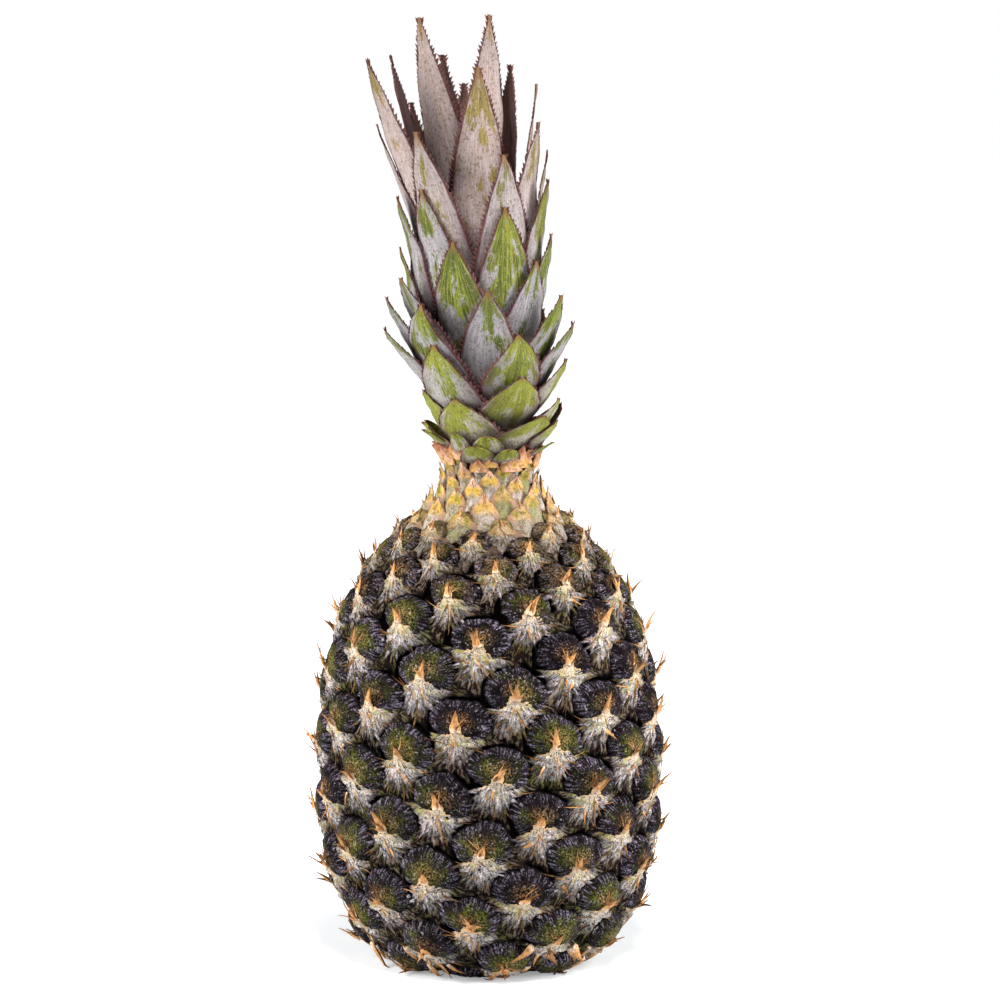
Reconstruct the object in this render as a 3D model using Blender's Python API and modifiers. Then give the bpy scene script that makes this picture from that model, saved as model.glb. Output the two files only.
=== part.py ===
"""A whole pineapple with its crown, standing on the small flat spot of its base.

Z is up, the origin is the centre of the flat spot, and the front of the fruit faces -Y.
One solid is the fruit with its neck, one the cut stalk in its base, one the short stem of
the crown, and every leaf of the crown is a solid of its own. All sizes are in metres.
"""
import math

import bpy
import numpy as np

MM = 0.001

# Fruit: the ground line between the eyes, as (height, radius) pairs.
FRUIT_PROFILE = [
    (0.0, 0.0290), (0.0022, 0.0362), (0.0065, 0.0425), (0.0130, 0.0480), (0.0220, 0.0528),
    (0.0340, 0.0570), (0.0480, 0.0593), (0.0680, 0.0602), (0.0890, 0.0592), (0.1110, 0.0558),
    (0.1300, 0.0492), (0.1430, 0.0418), (0.1540, 0.0328), (0.1640, 0.0230), (0.1700, 0.0186),
    (0.1760, 0.0164), (0.1840, 0.0160),
]
NECK_TOP = 0.184
PROFILE_STEPS = 46
TURN_STEPS = 60
STALK_STEPS = 32
STEM_STEPS = 20
CURVE_SAMPLES = 1200
MERGE_DISTANCE = 0.00001

# Eyes of the fruit: they climb one spiral, each turned from the last by the divergence.
EYE_AREA = 477e-6
DIVERGENCE = math.radians(137.31)
FIRST_EYE_TURN = 4.513
SPIRAL_TWIST = 0.317
TWIST_LENGTH = 0.2
SHOULDER = 0.1206
NECK_SHRINK = 2.05
EYE_RISE = 0.0026
DOME_REACH = 0.62
RIM_HEIGHT = 0.001
RISE_STARTS_OVER = 0.006

# Cut stalk in the hollow of the base.
STALK_RADIUS = 0.0118
STALK_DEPTH = 0.0040
FLAT_RING_MIDDLE = 0.021
HOLLOW_CHAMFER = 0.001
FIT_GAP = 0.0003

# Crown: the stem leans a little, and the leaves stand round it.
CROWN_LEAN = -0.068
STEM_PROFILE = [
    (0.1843, 0.0112), (0.1900, 0.0114), (0.2050, 0.0104), (0.2250, 0.0084), (0.2400, 0.0058),
    (0.2470, 0.0034), (0.2500, 0.0012),
]
LEAF_FOOT = 0.1850
LEAF_FOOT_RISE = 0.42
FIRST_TIP = 0.1900
LEAF_THICKNESS = 0.0008
LEAF_SPACING = 0.0014
LEAF_BOW = 0.85
LEVEL_STEP = 0.0075
MOST_LEVELS = 40
LAST_LEVEL_GAP = 0.00075
LEAF_COLUMNS = 4
LEAF_FOOT_WIDTH = 0.6
LEAF_WIDEST = 0.33
LEAF_TAPER_FROM = 0.3
LEAF_TAPER = 1.8
LEAST_HALF_WIDTH = 0.0006
SAME_LEVEL = 0.0001
CLEAR_TURN = 0.05

# Leaves round the front and sides: (azimuth in degrees, tip height, reach, half width) in mm.
FRONT_LEAVES = [
    (-74, 192, 23.0, 9.5), (72, 195, 28.0, 9.5), (44, 198, 21.0, 13.5), (70, 203, 29.0, 10.5),
    (-66, 206, 23.0, 11.0), (-25, 204, 20.5, 13.0), (28, 212, 22.5, 13.0), (70, 217, 32.5, 10.5),
    (-34, 223, 24.5, 12.5), (26, 227, 24.0, 12.0), (-70, 228, 37.0, 10.5), (68, 230, 36.5, 10.0),
    (-42, 237, 26.0, 12.0), (-68, 239, 35.5, 10.0), (60, 240, 34.5, 11.5), (8, 242, 24.5, 11.5),
    (-58, 246, 32.0, 11.0), (50, 252, 27.0, 12.0), (-78, 256, 27.5, 10.0), (-17, 259, 25.0, 12.0),
    (70, 261, 29.5, 10.5), (27, 271, 25.0, 12.5), (-70, 274, 28.0, 10.0), (-41, 277, 26.0, 12.5),
    (68, 280, 30.0, 10.0), (30, 289, 24.5, 12.0), (84, 290, 28.5, 9.0), (-34, 297, 24.0, 12.0),
    (-82, 299, 27.0, 9.5), (62, 300, 29.0, 10.5), (86, 313, 26.0, 8.5), (15, 319, 22.0, 12.0),
    (-60, 322, 38.0, 11.5), (-108, 323, 27.0, 9.5), (-160, 323, 21.0, 8.0), (150, 332, 19.0, 7.5),
    (-40, 336, 21.5, 11.5), (38, 337, 17.5, 11.0),
]

# Leaves round the back: evenly rising, and turned from one to the next by the golden share.
BACK_LEAVES = 19
BACK_FIRST_TIP = 199.0
BACK_TIP_STEP = 6.7
BACK_MIDDLE = 180.0
BACK_SPREAD = 132.0
BACK_REACH = (31.0, 22.6)
BACK_HALF_WIDTH = (11.0, 9.6)
GOLDEN_SHARE = 0.618034


def smooth_curve(points, at):
    """Values between hand-set (position, value) points, on a smooth curve with no overshoot."""
    x, y = np.array(points, float).T
    slope = np.diff(y) / np.diff(x)
    before, after = slope[:-1], slope[1:]
    same_way = before * after > 0
    mean = 2 * before * after / np.where(same_way, before + after, 1.0)
    tangent = np.concatenate([slope[:1], np.where(same_way, mean, 0.0), slope[-1:]])
    at = np.clip(at, x[0], x[-1])
    i = np.clip(np.searchsorted(x, at) - 1, 0, len(x) - 2)
    width = x[i + 1] - x[i]
    t = (at - x[i]) / width
    return (
        y[i] * (1 + 2 * t) * (1 - t) ** 2 + y[i + 1] * t * t * (3 - 2 * t)
        + width * t * (1 - t) * (tangent[i] * (1 - t) - tangent[i + 1] * t)
    )


def material(name, colour, roughness):
    made = bpy.data.materials.new(name)
    made.use_nodes = True
    shader = made.node_tree.nodes["Principled BSDF"]
    shader.inputs["Base Color"].default_value = (*colour, 1.0)
    shader.inputs["Roughness"].default_value = roughness
    shader.inputs["Metallic"].default_value = 0.0
    return made


def add_object(name, mesh, finish, collection):
    made = bpy.data.objects.new(name, mesh)
    collection.objects.link(made)
    mesh.materials.append(finish)


def turned_mesh(name, outline, steps):
    """The mesh of an outline of (radius, height) points, top to bottom, turned about Z."""
    line = bpy.data.meshes.new(name + "_outline")
    line.from_pydata([(r, 0, z) for r, z in outline], [(i, i + 1) for i in range(len(outline) - 1)], [])
    holder = bpy.data.objects.new(name + "_outline", line)
    bpy.context.scene.collection.objects.link(holder)
    screw = holder.modifiers.new("Turn", "SCREW")
    screw.steps = steps
    screw.render_steps = steps
    screw.use_merge_vertices = True
    screw.merge_threshold = MERGE_DISTANCE
    bpy.context.view_layer.update()
    graph = bpy.context.evaluated_depsgraph_get()
    mesh = bpy.data.meshes.new_from_object(holder.evaluated_get(graph))
    bpy.data.objects.remove(holder)
    mesh.name = name
    return mesh


def spread_by_length(profile, count):
    """(height, radius) points at equal steps along a profile's own length."""
    z = np.linspace(profile[0][0], profile[-1][0], CURVE_SAMPLES)
    r = smooth_curve(profile, z)
    along = np.concatenate([[0], np.cumsum(np.hypot(np.diff(z), np.diff(r)))])
    at = np.linspace(0, along[-1], count)
    return np.interp(at, along, z), np.interp(at, along, r)


def eye_places():
    """Each eye's azimuth, height, radius and width, from the base to the neck."""
    z = np.linspace(0, NECK_TOP, CURVE_SAMPLES)
    r = smooth_curve(FRUIT_PROFILE, z)
    along = np.concatenate([[0], np.cumsum(np.hypot(np.diff(z), np.diff(r)))])
    shoulder_radius = smooth_curve(FRUIT_PROFILE, SHOULDER)
    area = EYE_AREA * np.where(z < SHOULDER, 1.0, np.minimum(1.0, r / shoulder_radius) ** NECK_SHRINK)
    rate = 2 * math.pi * r / area
    count = np.concatenate([[0], np.cumsum((rate[1:] + rate[:-1]) / 2 * np.diff(along))])
    number = np.arange(int(count[-1]))
    at = np.interp(number, count, along)
    turn = FIRST_EYE_TURN + DIVERGENCE * number + SPIRAL_TWIST * (at / TWIST_LENGTH) ** 2
    return turn, np.interp(at, along, z), np.interp(at, along, r), np.sqrt(np.interp(at, along, area))


def raise_eyes(mesh):
    """Domes the fruit's skin over each eye, and keeps the flat spot flat."""
    turn, height, radius, width = eye_places()
    centres = np.stack([radius * np.cos(turn), radius * np.sin(turn), height], 1)
    for vertex in mesh.vertices:
        place = np.array(vertex.co)
        if not RIM_HEIGHT < place[2] < NECK_TOP - RIM_HEIGHT:
            continue
        share = np.linalg.norm(centres - place, axis=1) / (DOME_REACH * width)
        nearest = int(share.argmin())
        dome = max(0.0, 1 - share[nearest] ** 2)
        fade = min(1.0, place[2] / RISE_STARTS_OVER)
        vertex.co += vertex.normal * EYE_RISE * dome * fade * width[nearest] / math.sqrt(EYE_AREA)


def make_fruit(collection, finish):
    height, radius = spread_by_length(FRUIT_PROFILE, PROFILE_STEPS)
    hollow = STALK_RADIUS + FIT_GAP
    outline = [(0.0, NECK_TOP), (radius[-1] / 2, NECK_TOP)]
    outline += list(zip(radius[::-1], height[::-1]))
    outline += [(FLAT_RING_MIDDLE, 0.0), (hollow + HOLLOW_CHAMFER, 0.0), (hollow, HOLLOW_CHAMFER)]
    outline += [(hollow, STALK_DEPTH), (0.0, STALK_DEPTH)]
    mesh = turned_mesh("fruit_body", outline, TURN_STEPS)
    raise_eyes(mesh)
    mesh.shade_smooth()
    add_object("fruit_body", mesh, finish, collection)


def make_stalk(collection, finish):
    top = STALK_DEPTH - FIT_GAP
    outline = [(0.0, top), (STALK_RADIUS - HOLLOW_CHAMFER, top), (STALK_RADIUS, top - HOLLOW_CHAMFER)]
    outline += [(STALK_RADIUS, 0.0), (0.0, 0.0)]
    mesh = turned_mesh("cut_stalk", outline, STALK_STEPS)
    add_object("cut_stalk", mesh, finish, collection)


def crown_axis(height):
    """How far the crown's leaning axis stands from the fruit's, along X."""
    return CROWN_LEAN * (height - NECK_TOP)


def make_stem(collection, finish):
    outline = [(0.0, STEM_PROFILE[-1][0])] + [(r, z) for z, r in reversed(STEM_PROFILE)]
    outline += [(0.0, STEM_PROFILE[0][0])]
    mesh = turned_mesh("crown_stem", outline, STEM_STEPS)
    for vertex in mesh.vertices:
        vertex.co.x += crown_axis(vertex.co.z)
    mesh.shade_smooth()
    add_object("crown_stem", mesh, finish, collection)


class Leaf:
    """One leaf of the crown: it leaves the stem at its foot and leans out to its tip."""

    def __init__(self, azimuth, tip, reach, half_width):
        self.azimuth = math.radians(azimuth)
        self.half_width = half_width * MM
        self.tip = tip * MM
        steps_up = math.floor(LEAF_FOOT_RISE * max(0.0, self.tip - FIRST_TIP) / LEVEL_STEP)
        self.foot = LEAF_FOOT + LEVEL_STEP * steps_up
        levels = self.foot + LEVEL_STEP * np.arange(1, MOST_LEVELS)
        levels = levels[levels < self.tip - LAST_LEVEL_GAP]
        self.height = np.concatenate([[self.foot], levels, [self.tip]])
        share = (self.height - self.foot) / (self.tip - self.foot)
        at_stem = smooth_curve(STEM_PROFILE, np.array([self.foot]))[0] + LEAF_SPACING
        self.radius = at_stem + (reach * MM - at_stem) * share ** LEAF_BOW

    def radius_at(self, height):
        return np.interp(height, self.height, self.radius)

    def width_at(self, height):
        """Half the leaf's width: narrow at the foot, widest at a third, pointed at the tip."""
        share = np.clip((height - self.foot) / (self.tip - self.foot), 0, 1)
        opening = np.sin(np.minimum(1.0, share / LEAF_WIDEST) * math.pi / 2)
        rising = LEAF_FOOT_WIDTH + (1 - LEAF_FOOT_WIDTH) * opening
        falling = 1 - (np.maximum(0.0, share - LEAF_TAPER_FROM) / (1 - LEAF_TAPER_FROM)) ** LEAF_TAPER
        return np.maximum(LEAST_HALF_WIDTH, self.half_width * rising * falling)

    def turn_at(self, height):
        """Half the angle that the leaf covers at a height."""
        return self.width_at(height) / self.radius_at(height)

    def place(self, row, across):
        height = self.height[row]
        turn = self.azimuth + across * self.turn_at(height)
        along_x = crown_axis(height) + self.radius[row] * math.sin(turn)
        return along_x, -self.radius[row] * math.cos(turn), height


def back_leaf(number):
    """Azimuth, tip height, reach and half width of one of the leaves round the back."""
    share = number / (BACK_LEAVES - 1)
    azimuth = BACK_MIDDLE + (number * GOLDEN_SHARE % 1 - 0.5) * BACK_SPREAD
    reach = BACK_REACH[0] + (BACK_REACH[1] - BACK_REACH[0]) * share
    half_width = BACK_HALF_WIDTH[0] + (BACK_HALF_WIDTH[1] - BACK_HALF_WIDTH[0]) * share
    return azimuth, BACK_FIRST_TIP + BACK_TIP_STEP * number, reach, half_width


def planned_leaves():
    """All the leaves, outermost first, each clear of the ones that it wraps."""
    rows = FRONT_LEAVES + [back_leaf(number) for number in range(BACK_LEAVES)]
    leaves = [Leaf(*row) for row in sorted(rows, key=lambda row: row[1])]
    for i in reversed(range(len(leaves))):
        for inner in leaves[i + 1:]:
            clear_of(leaves[i], inner)
    return leaves


def clear_of(outer, inner):
    """Moves the outer leaf out wherever it would touch a leaf that it wraps."""
    apart = abs((outer.azimuth - inner.azimuth + math.pi) % (2 * math.pi) - math.pi)
    for row, height in enumerate(outer.height):
        if height < inner.foot - SAME_LEVEL:
            continue
        near = height + LEVEL_STEP * np.array([-1.0, 0.0, 1.0])
        if apart < (outer.turn_at(near) + inner.turn_at(near)).max() + CLEAR_TURN:
            outer.radius[row] = max(outer.radius[row], inner.radius_at(height) + LEAF_SPACING)


def make_leaf(name, leaf, collection, finish):
    rows = len(leaf.height) - 1
    bpy.ops.mesh.primitive_grid_add(x_subdivisions=LEAF_COLUMNS, y_subdivisions=rows, size=2)
    made = bpy.context.object
    made.name = made.data.name = name
    for vertex in made.data.vertices:
        vertex.co = leaf.place(round((vertex.co.y + 1) / 2 * rows), vertex.co.x)
    for owner in list(made.users_collection):
        owner.objects.unlink(made)
    collection.objects.link(made)
    made.data.materials.append(finish)
    shell = made.modifiers.new("Thickness", "SOLIDIFY")
    shell.thickness = LEAF_THICKNESS
    shell.offset = 0
    made.data.shade_smooth()


def main():
    for old in list(bpy.data.objects):
        bpy.data.objects.remove(old)
    collection = bpy.data.collections.new("pineapple")
    bpy.context.scene.collection.children.link(collection)
    make_fruit(collection, material("rind", (0.07, 0.055, 0.045), 0.55))
    make_stalk(collection, material("stalk", (0.45, 0.33, 0.18), 0.85))
    make_stem(collection, material("stem", (0.55, 0.55, 0.32), 0.7))
    leaf_finish = material("leaf", (0.36, 0.38, 0.30), 0.55)
    for number, leaf in enumerate(planned_leaves(), 1):
        make_leaf(f"crown_leaf_{number:02d}", leaf, collection, leaf_finish)


main()
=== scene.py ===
"""The looks of a whole pineapple: a rind of dry-tipped eyes, a neck of scales, a spiny crown.

Every eye is wrapped onto the fruit's ground surface from its own flat frame, in which x runs
round the fruit, y runs up it and h stands off it. Lengths in that frame are shares of the
eye's width. The crown's leaves stand where the frame's leaves stand. Metres, Z up, front -Y.
"""
import math

import bpy
import numpy as np
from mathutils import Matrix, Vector


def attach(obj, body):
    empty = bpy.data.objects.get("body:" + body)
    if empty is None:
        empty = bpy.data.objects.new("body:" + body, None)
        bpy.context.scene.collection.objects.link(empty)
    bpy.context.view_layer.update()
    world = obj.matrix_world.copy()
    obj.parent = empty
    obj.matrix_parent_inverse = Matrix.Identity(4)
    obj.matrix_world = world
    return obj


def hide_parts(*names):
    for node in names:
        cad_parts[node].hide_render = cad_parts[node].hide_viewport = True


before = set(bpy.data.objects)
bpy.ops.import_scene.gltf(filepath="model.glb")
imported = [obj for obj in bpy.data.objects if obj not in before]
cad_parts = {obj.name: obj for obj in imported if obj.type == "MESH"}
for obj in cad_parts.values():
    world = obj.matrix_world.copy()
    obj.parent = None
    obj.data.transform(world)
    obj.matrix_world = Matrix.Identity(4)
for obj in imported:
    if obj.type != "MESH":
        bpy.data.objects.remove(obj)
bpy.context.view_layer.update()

MM = 0.001
TURN = 2 * math.pi
UPWARD = TURN / 4

# Fruit: the ground line between the eyes, as (height, radius) pairs, and the eyes' spiral.
FRUIT_PROFILE = [
    (0.0, 0.0290), (0.0022, 0.0362), (0.0065, 0.0425), (0.0130, 0.0480), (0.0220, 0.0528),
    (0.0340, 0.0570), (0.0480, 0.0593), (0.0680, 0.0602), (0.0890, 0.0592), (0.1110, 0.0558),
    (0.1300, 0.0492), (0.1430, 0.0418), (0.1540, 0.0328), (0.1640, 0.0230), (0.1700, 0.0186),
    (0.1760, 0.0164), (0.1840, 0.0160),
]
NECK_TOP = 0.184
EYE_AREA = 477e-6  # the ground that a full eye covers, in square metres
DIVERGENCE = math.radians(137.31)
FIRST_EYE_TURN = 4.513
SPIRAL_TWIST = 0.317
TWIST_LENGTH = 0.2
SHOULDER = 0.1206  # the height above which the eyes get smaller
NECK_SHRINK = 2.05
SPIRAL_ROWS = 8
NECK_STARTS = 0.151
NECK_FULL = 0.168
OUTLINE_STEPS = 1600
OUTLINE_GAP = 0.0001
UNDER_BASE = 0.024  # how far the outline goes on under the base and over the neck
OVER_NECK = 0.02
DIRECTION_BLUR = 41
FLOOR_CLEARANCE = 0.0003

# Seeds of everything drawn by chance, and the columns of an eye's chances that colour it.
EYE_SEED = 11
EYE_CHANCES = 12
COLOUR_CHANCES = (6, 7, 8)
BASE_SEED = 31
FAN_SEED = 40
BRACT_SEED = 60
SCALE_SEED = 68
HEART_SEED = 70
NECK_RUFF_SEED = 77
COLLAR_SEED = 78
TIP_SEED = 100
FRINGE_SEED = 200
LEAF_SEED = 500
SPINE_SEED = 900

# Crown: the leaning stem and the leaves round it, as in the frame.
CROWN_LEAN = -0.068
STEM_PROFILE = [
    (0.1843, 0.0112), (0.1900, 0.0114), (0.2050, 0.0104), (0.2250, 0.0084), (0.2400, 0.0058),
    (0.2470, 0.0034), (0.2500, 0.0012),
]
LEAF_FOOT = 0.1850
LEAF_FOOT_RISE = 0.42
FIRST_TIP = 0.1900
LEAF_SPACING = 0.0014
LEAF_BOW = 0.85
LEVEL_STEP = 0.0075
MOST_LEVELS = 40
LAST_LEVEL_GAP = 0.00075
LEAF_FOOT_WIDTH = 0.6
LEAF_WIDEST = 0.33
LEAF_TAPER_FROM = 0.3
LEAF_TAPER = 1.8
LEAST_HALF_WIDTH = 0.0006
SAME_LEVEL = 0.0001
CLEAR_TURN = 0.05
FRONT_LEAVES = [
    (-74, 192, 23.0, 9.5), (72, 195, 28.0, 9.5), (44, 198, 21.0, 13.5), (70, 203, 29.0, 10.5),
    (-66, 206, 23.0, 11.0), (-25, 204, 20.5, 13.0), (28, 212, 22.5, 13.0), (70, 217, 32.5, 10.5),
    (-34, 223, 24.5, 12.5), (26, 227, 24.0, 12.0), (-70, 228, 37.0, 10.5), (68, 230, 36.5, 10.0),
    (-42, 237, 26.0, 12.0), (-68, 239, 35.5, 10.0), (60, 240, 34.5, 11.5), (8, 242, 24.5, 11.5),
    (-58, 246, 32.0, 11.0), (50, 252, 27.0, 12.0), (-78, 256, 27.5, 10.0), (-17, 259, 25.0, 12.0),
    (70, 261, 29.5, 10.5), (27, 271, 25.0, 12.5), (-70, 274, 28.0, 10.0), (-41, 277, 26.0, 12.5),
    (68, 280, 30.0, 10.0), (30, 289, 24.5, 12.0), (84, 290, 28.5, 9.0), (-34, 297, 24.0, 12.0),
    (-82, 299, 27.0, 9.5), (62, 300, 29.0, 10.5), (86, 313, 26.0, 8.5), (15, 319, 22.0, 12.0),
    (-60, 322, 38.0, 11.5), (-108, 323, 27.0, 9.5), (-160, 323, 21.0, 8.0), (150, 332, 19.0, 7.5),
    (-40, 336, 21.5, 11.5), (38, 337, 17.5, 11.0),
]
BACK_LEAVES = 19
BACK_FIRST_TIP = 199.0
BACK_TIP_STEP = 6.7
BACK_MIDDLE = 180.0
BACK_SPREAD = 132.0
BACK_REACH = (31.0, 22.6)
BACK_HALF_WIDTH = (11.0, 9.6)
GOLDEN_SHARE = 0.618034


# ---------------------------------------------------------------- shapes and meshes

def smooth_curve(points, at):
    """Values between given (position, value) points, on a smooth curve with no overshoot."""
    x, y = np.array(points, float).T
    slope = np.diff(y) / np.diff(x)
    before, after = slope[:-1], slope[1:]
    same_way = before * after > 0
    mean = 2 * before * after / np.where(same_way, before + after, 1.0)
    tangent = np.concatenate([slope[:1], np.where(same_way, mean, 0.0), slope[-1:]])
    at = np.clip(at, x[0], x[-1])
    i = np.clip(np.searchsorted(x, at) - 1, 0, len(x) - 2)
    width = x[i + 1] - x[i]
    t = (at - x[i]) / width
    return (
        y[i] * (1 + 2 * t) * (1 - t) ** 2 + y[i + 1] * t * t * (3 - 2 * t)
        + width * t * (1 - t) * (tangent[i] * (1 - t) - tangent[i + 1] * t)
    )


def step(low, high, value):
    """0 below low, 1 above high, and a smooth rise between."""
    t = np.clip((value - low) / (high - low), 0, 1)
    return t * t * (3 - 2 * t)


def bump(distance, width):
    """1 at no distance, and a smooth fall to 0 over about twice the width."""
    return np.exp(-(distance / width) ** 2)


def angle_from(angle, centre):
    """How far an angle is from another, the short way round, from -pi to pi."""
    return (angle - centre + math.pi) % TURN - math.pi


class Meridian:
    """The fruit's outline from the middle of its base to its neck, by its own length."""

    def __init__(self):
        z = np.linspace(0, NECK_TOP, OUTLINE_STEPS)
        r = smooth_curve(FRUIT_PROFILE, z)
        along = np.concatenate([[0], np.cumsum(np.hypot(np.diff(z), np.diff(r)))])
        even = np.linspace(0, along[-1], OUTLINE_STEPS)
        under = np.linspace(-UNDER_BASE, -OUTLINE_GAP, 120)
        over = np.linspace(OUTLINE_GAP, OVER_NECK, 60)
        self.length = along[-1]
        self.at = np.concatenate([under, even, along[-1] + over])
        self.z = np.concatenate([0 * under, np.interp(even, along, z), NECK_TOP + over])
        self.r = np.concatenate([r[0] + under, np.interp(even, along, r), r[-1] + 0 * over])
        out = self.blurred(np.gradient(self.z, self.at))
        up = self.blurred(-np.gradient(self.r, self.at))
        size = np.hypot(out, up)
        self.out = out / size
        self.up = up / size

    @staticmethod
    def blurred(values):
        """The values averaged with their neighbours, so that no corner shows on the rind."""
        window = np.ones(DIRECTION_BLUR) / DIRECTION_BLUR
        return np.convolve(np.pad(values, DIRECTION_BLUR // 2, mode="edge"), window, "valid")

    def place(self, turn, at, lift):
        """Points on the fruit: azimuth, length along the outline, and height off it."""
        radius = np.interp(at, self.at, self.r) + lift * np.interp(at, self.at, self.out)
        height = np.interp(at, self.at, self.z) + lift * np.interp(at, self.at, self.up)
        height = np.maximum(height, FLOOR_CLEARANCE)
        return np.stack([radius * np.cos(turn), radius * np.sin(turn), height], -1)


class Eyes:
    """Where the eyes of the fruit stand, and how each differs from the next."""

    def __init__(self, meridian):
        self.meridian = meridian
        inside = (meridian.at >= 0) & (meridian.at <= meridian.length)
        at, z, r = meridian.at[inside], meridian.z[inside], meridian.r[inside]
        shrink = np.minimum(1.0, r / smooth_curve(FRUIT_PROFILE, SHOULDER)) ** NECK_SHRINK
        area = EYE_AREA * np.where(z < SHOULDER, 1.0, shrink)
        rate = TURN * r / area
        count = np.concatenate([[0], np.cumsum((rate[1:] + rate[:-1]) / 2 * np.diff(at))])
        number = np.arange(int(count[-1]))
        self.count = len(number)
        self.at = np.interp(number, count, at)
        twist = SPIRAL_TWIST * (self.at / TWIST_LENGTH) ** 2
        self.turn = FIRST_EYE_TURN + DIVERGENCE * number + twist
        self.height = np.interp(self.at, at, z)
        self.radius = np.interp(self.at, at, r)
        self.width = np.sqrt(np.interp(self.at, at, area))
        self.row = number % SPIRAL_ROWS
        self.neck = step(NECK_STARTS, NECK_FULL, self.height)
        self.luck = np.random.default_rng(EYE_SEED).random((self.count, EYE_CHANCES))

    def wrap(self, chosen, x, y, h):
        """Carries flat shapes, one per chosen eye, from the eyes' frames onto the fruit."""
        shape = (len(chosen),) + (1,) * (x.ndim - 1)
        width = self.width[chosen].reshape(shape)
        round_radius = self.radius[chosen].reshape(shape)
        turn = self.turn[chosen].reshape(shape) + x * width / round_radius
        return self.meridian.place(turn, self.at[chosen].reshape(shape) + y * width, h * width)


def grid_faces(rows, columns, closed):
    """Quads of one grid of rows by columns; closed joins each row's end to its start."""
    last = columns if closed else columns - 1
    i, j = np.meshgrid(np.arange(rows - 1), np.arange(last), indexing="ij")
    right = (j + 1) % columns
    row, next_row = i * columns, (i + 1) * columns
    return np.stack([row + j, row + right, next_row + right, next_row + j], -1).reshape(-1, 4)


def sheets_mesh(name, points, closed, attributes, flip=False):
    """One mesh of many equal grids: points is (sheets, rows, columns, 3)."""
    sheets, rows, columns, _ = points.shape
    faces = grid_faces(rows, columns, closed)
    if flip:
        faces = faces[:, ::-1]
    faces = (faces[None] + np.arange(sheets)[:, None, None] * rows * columns).reshape(-1, 4)
    return plain_mesh(name, points.reshape(-1, 3), faces, attributes)


def plain_mesh(name, points, faces, attributes):
    """A smooth mesh, with three values a point under each name in attributes."""
    mesh = bpy.data.meshes.new(name)
    mesh.from_pydata(points, [], faces)
    for label, values in attributes.items():
        layer = mesh.attributes.new(label, "FLOAT_VECTOR", "POINT")
        layer.data.foreach_set("vector", values.astype(np.float32).ravel())
    mesh.shade_smooth()
    mesh.update()
    return mesh


def add_piece(name, mesh, finish):
    """Puts a mesh into the scene as a piece that belongs to the frame's only body."""
    piece = bpy.data.objects.new(name, mesh)
    bpy.context.scene.collection.objects.link(piece)
    mesh.materials.append(finish)
    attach(piece, "root")
    return piece


def spread(values, like):
    """One value per eye, repeated over that eye's points."""
    return np.broadcast_to(values.reshape((-1,) + (1,) * (like.ndim - 1)), like.shape)


def colour_luck(eyes, chosen, like):
    """The three chances that an eye's materials vary by, at each of its points."""
    return np.stack([spread(eyes.luck[chosen, column], like) for column in COLOUR_CHANCES], -1)


# ---------------------------------------------------------------- the eyes

FAN_CENTRE = (0.02, 0.11)
FAN_SIZE = (0.55, 0.415)
FAN_TOP = 0.125
FAN_RIM = -0.145
FAN_SEEN = 0.90
FAN_ANGLES = 64
FAN_RINGS = 12
FAN_TEETH = 0.028
FAN_RIDGES = 0.014
FINE_ROUGHNESS = 0.0035
EYE_TILT = math.radians(-9)


def fan_share(x, y):
    """0 at the middle of an eye's fan, 1 on its rim."""
    return np.hypot((x - FAN_CENTRE[0]) / FAN_SIZE[0], (y - FAN_CENTRE[1]) / FAN_SIZE[1])


def fan_height(share):
    """A fan's relief: a low dome that drops steeply at its rim."""
    return FAN_TOP * (1 - np.minimum(share, 1) ** 2.2) + FAN_RIM * np.minimum(share, 1.1) ** 9


def tilted(x, y, angle):
    """A point of the eye's frame turned about the eye's middle."""
    return x * np.cos(angle) - y * np.sin(angle), x * np.sin(angle) + y * np.cos(angle)


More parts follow.
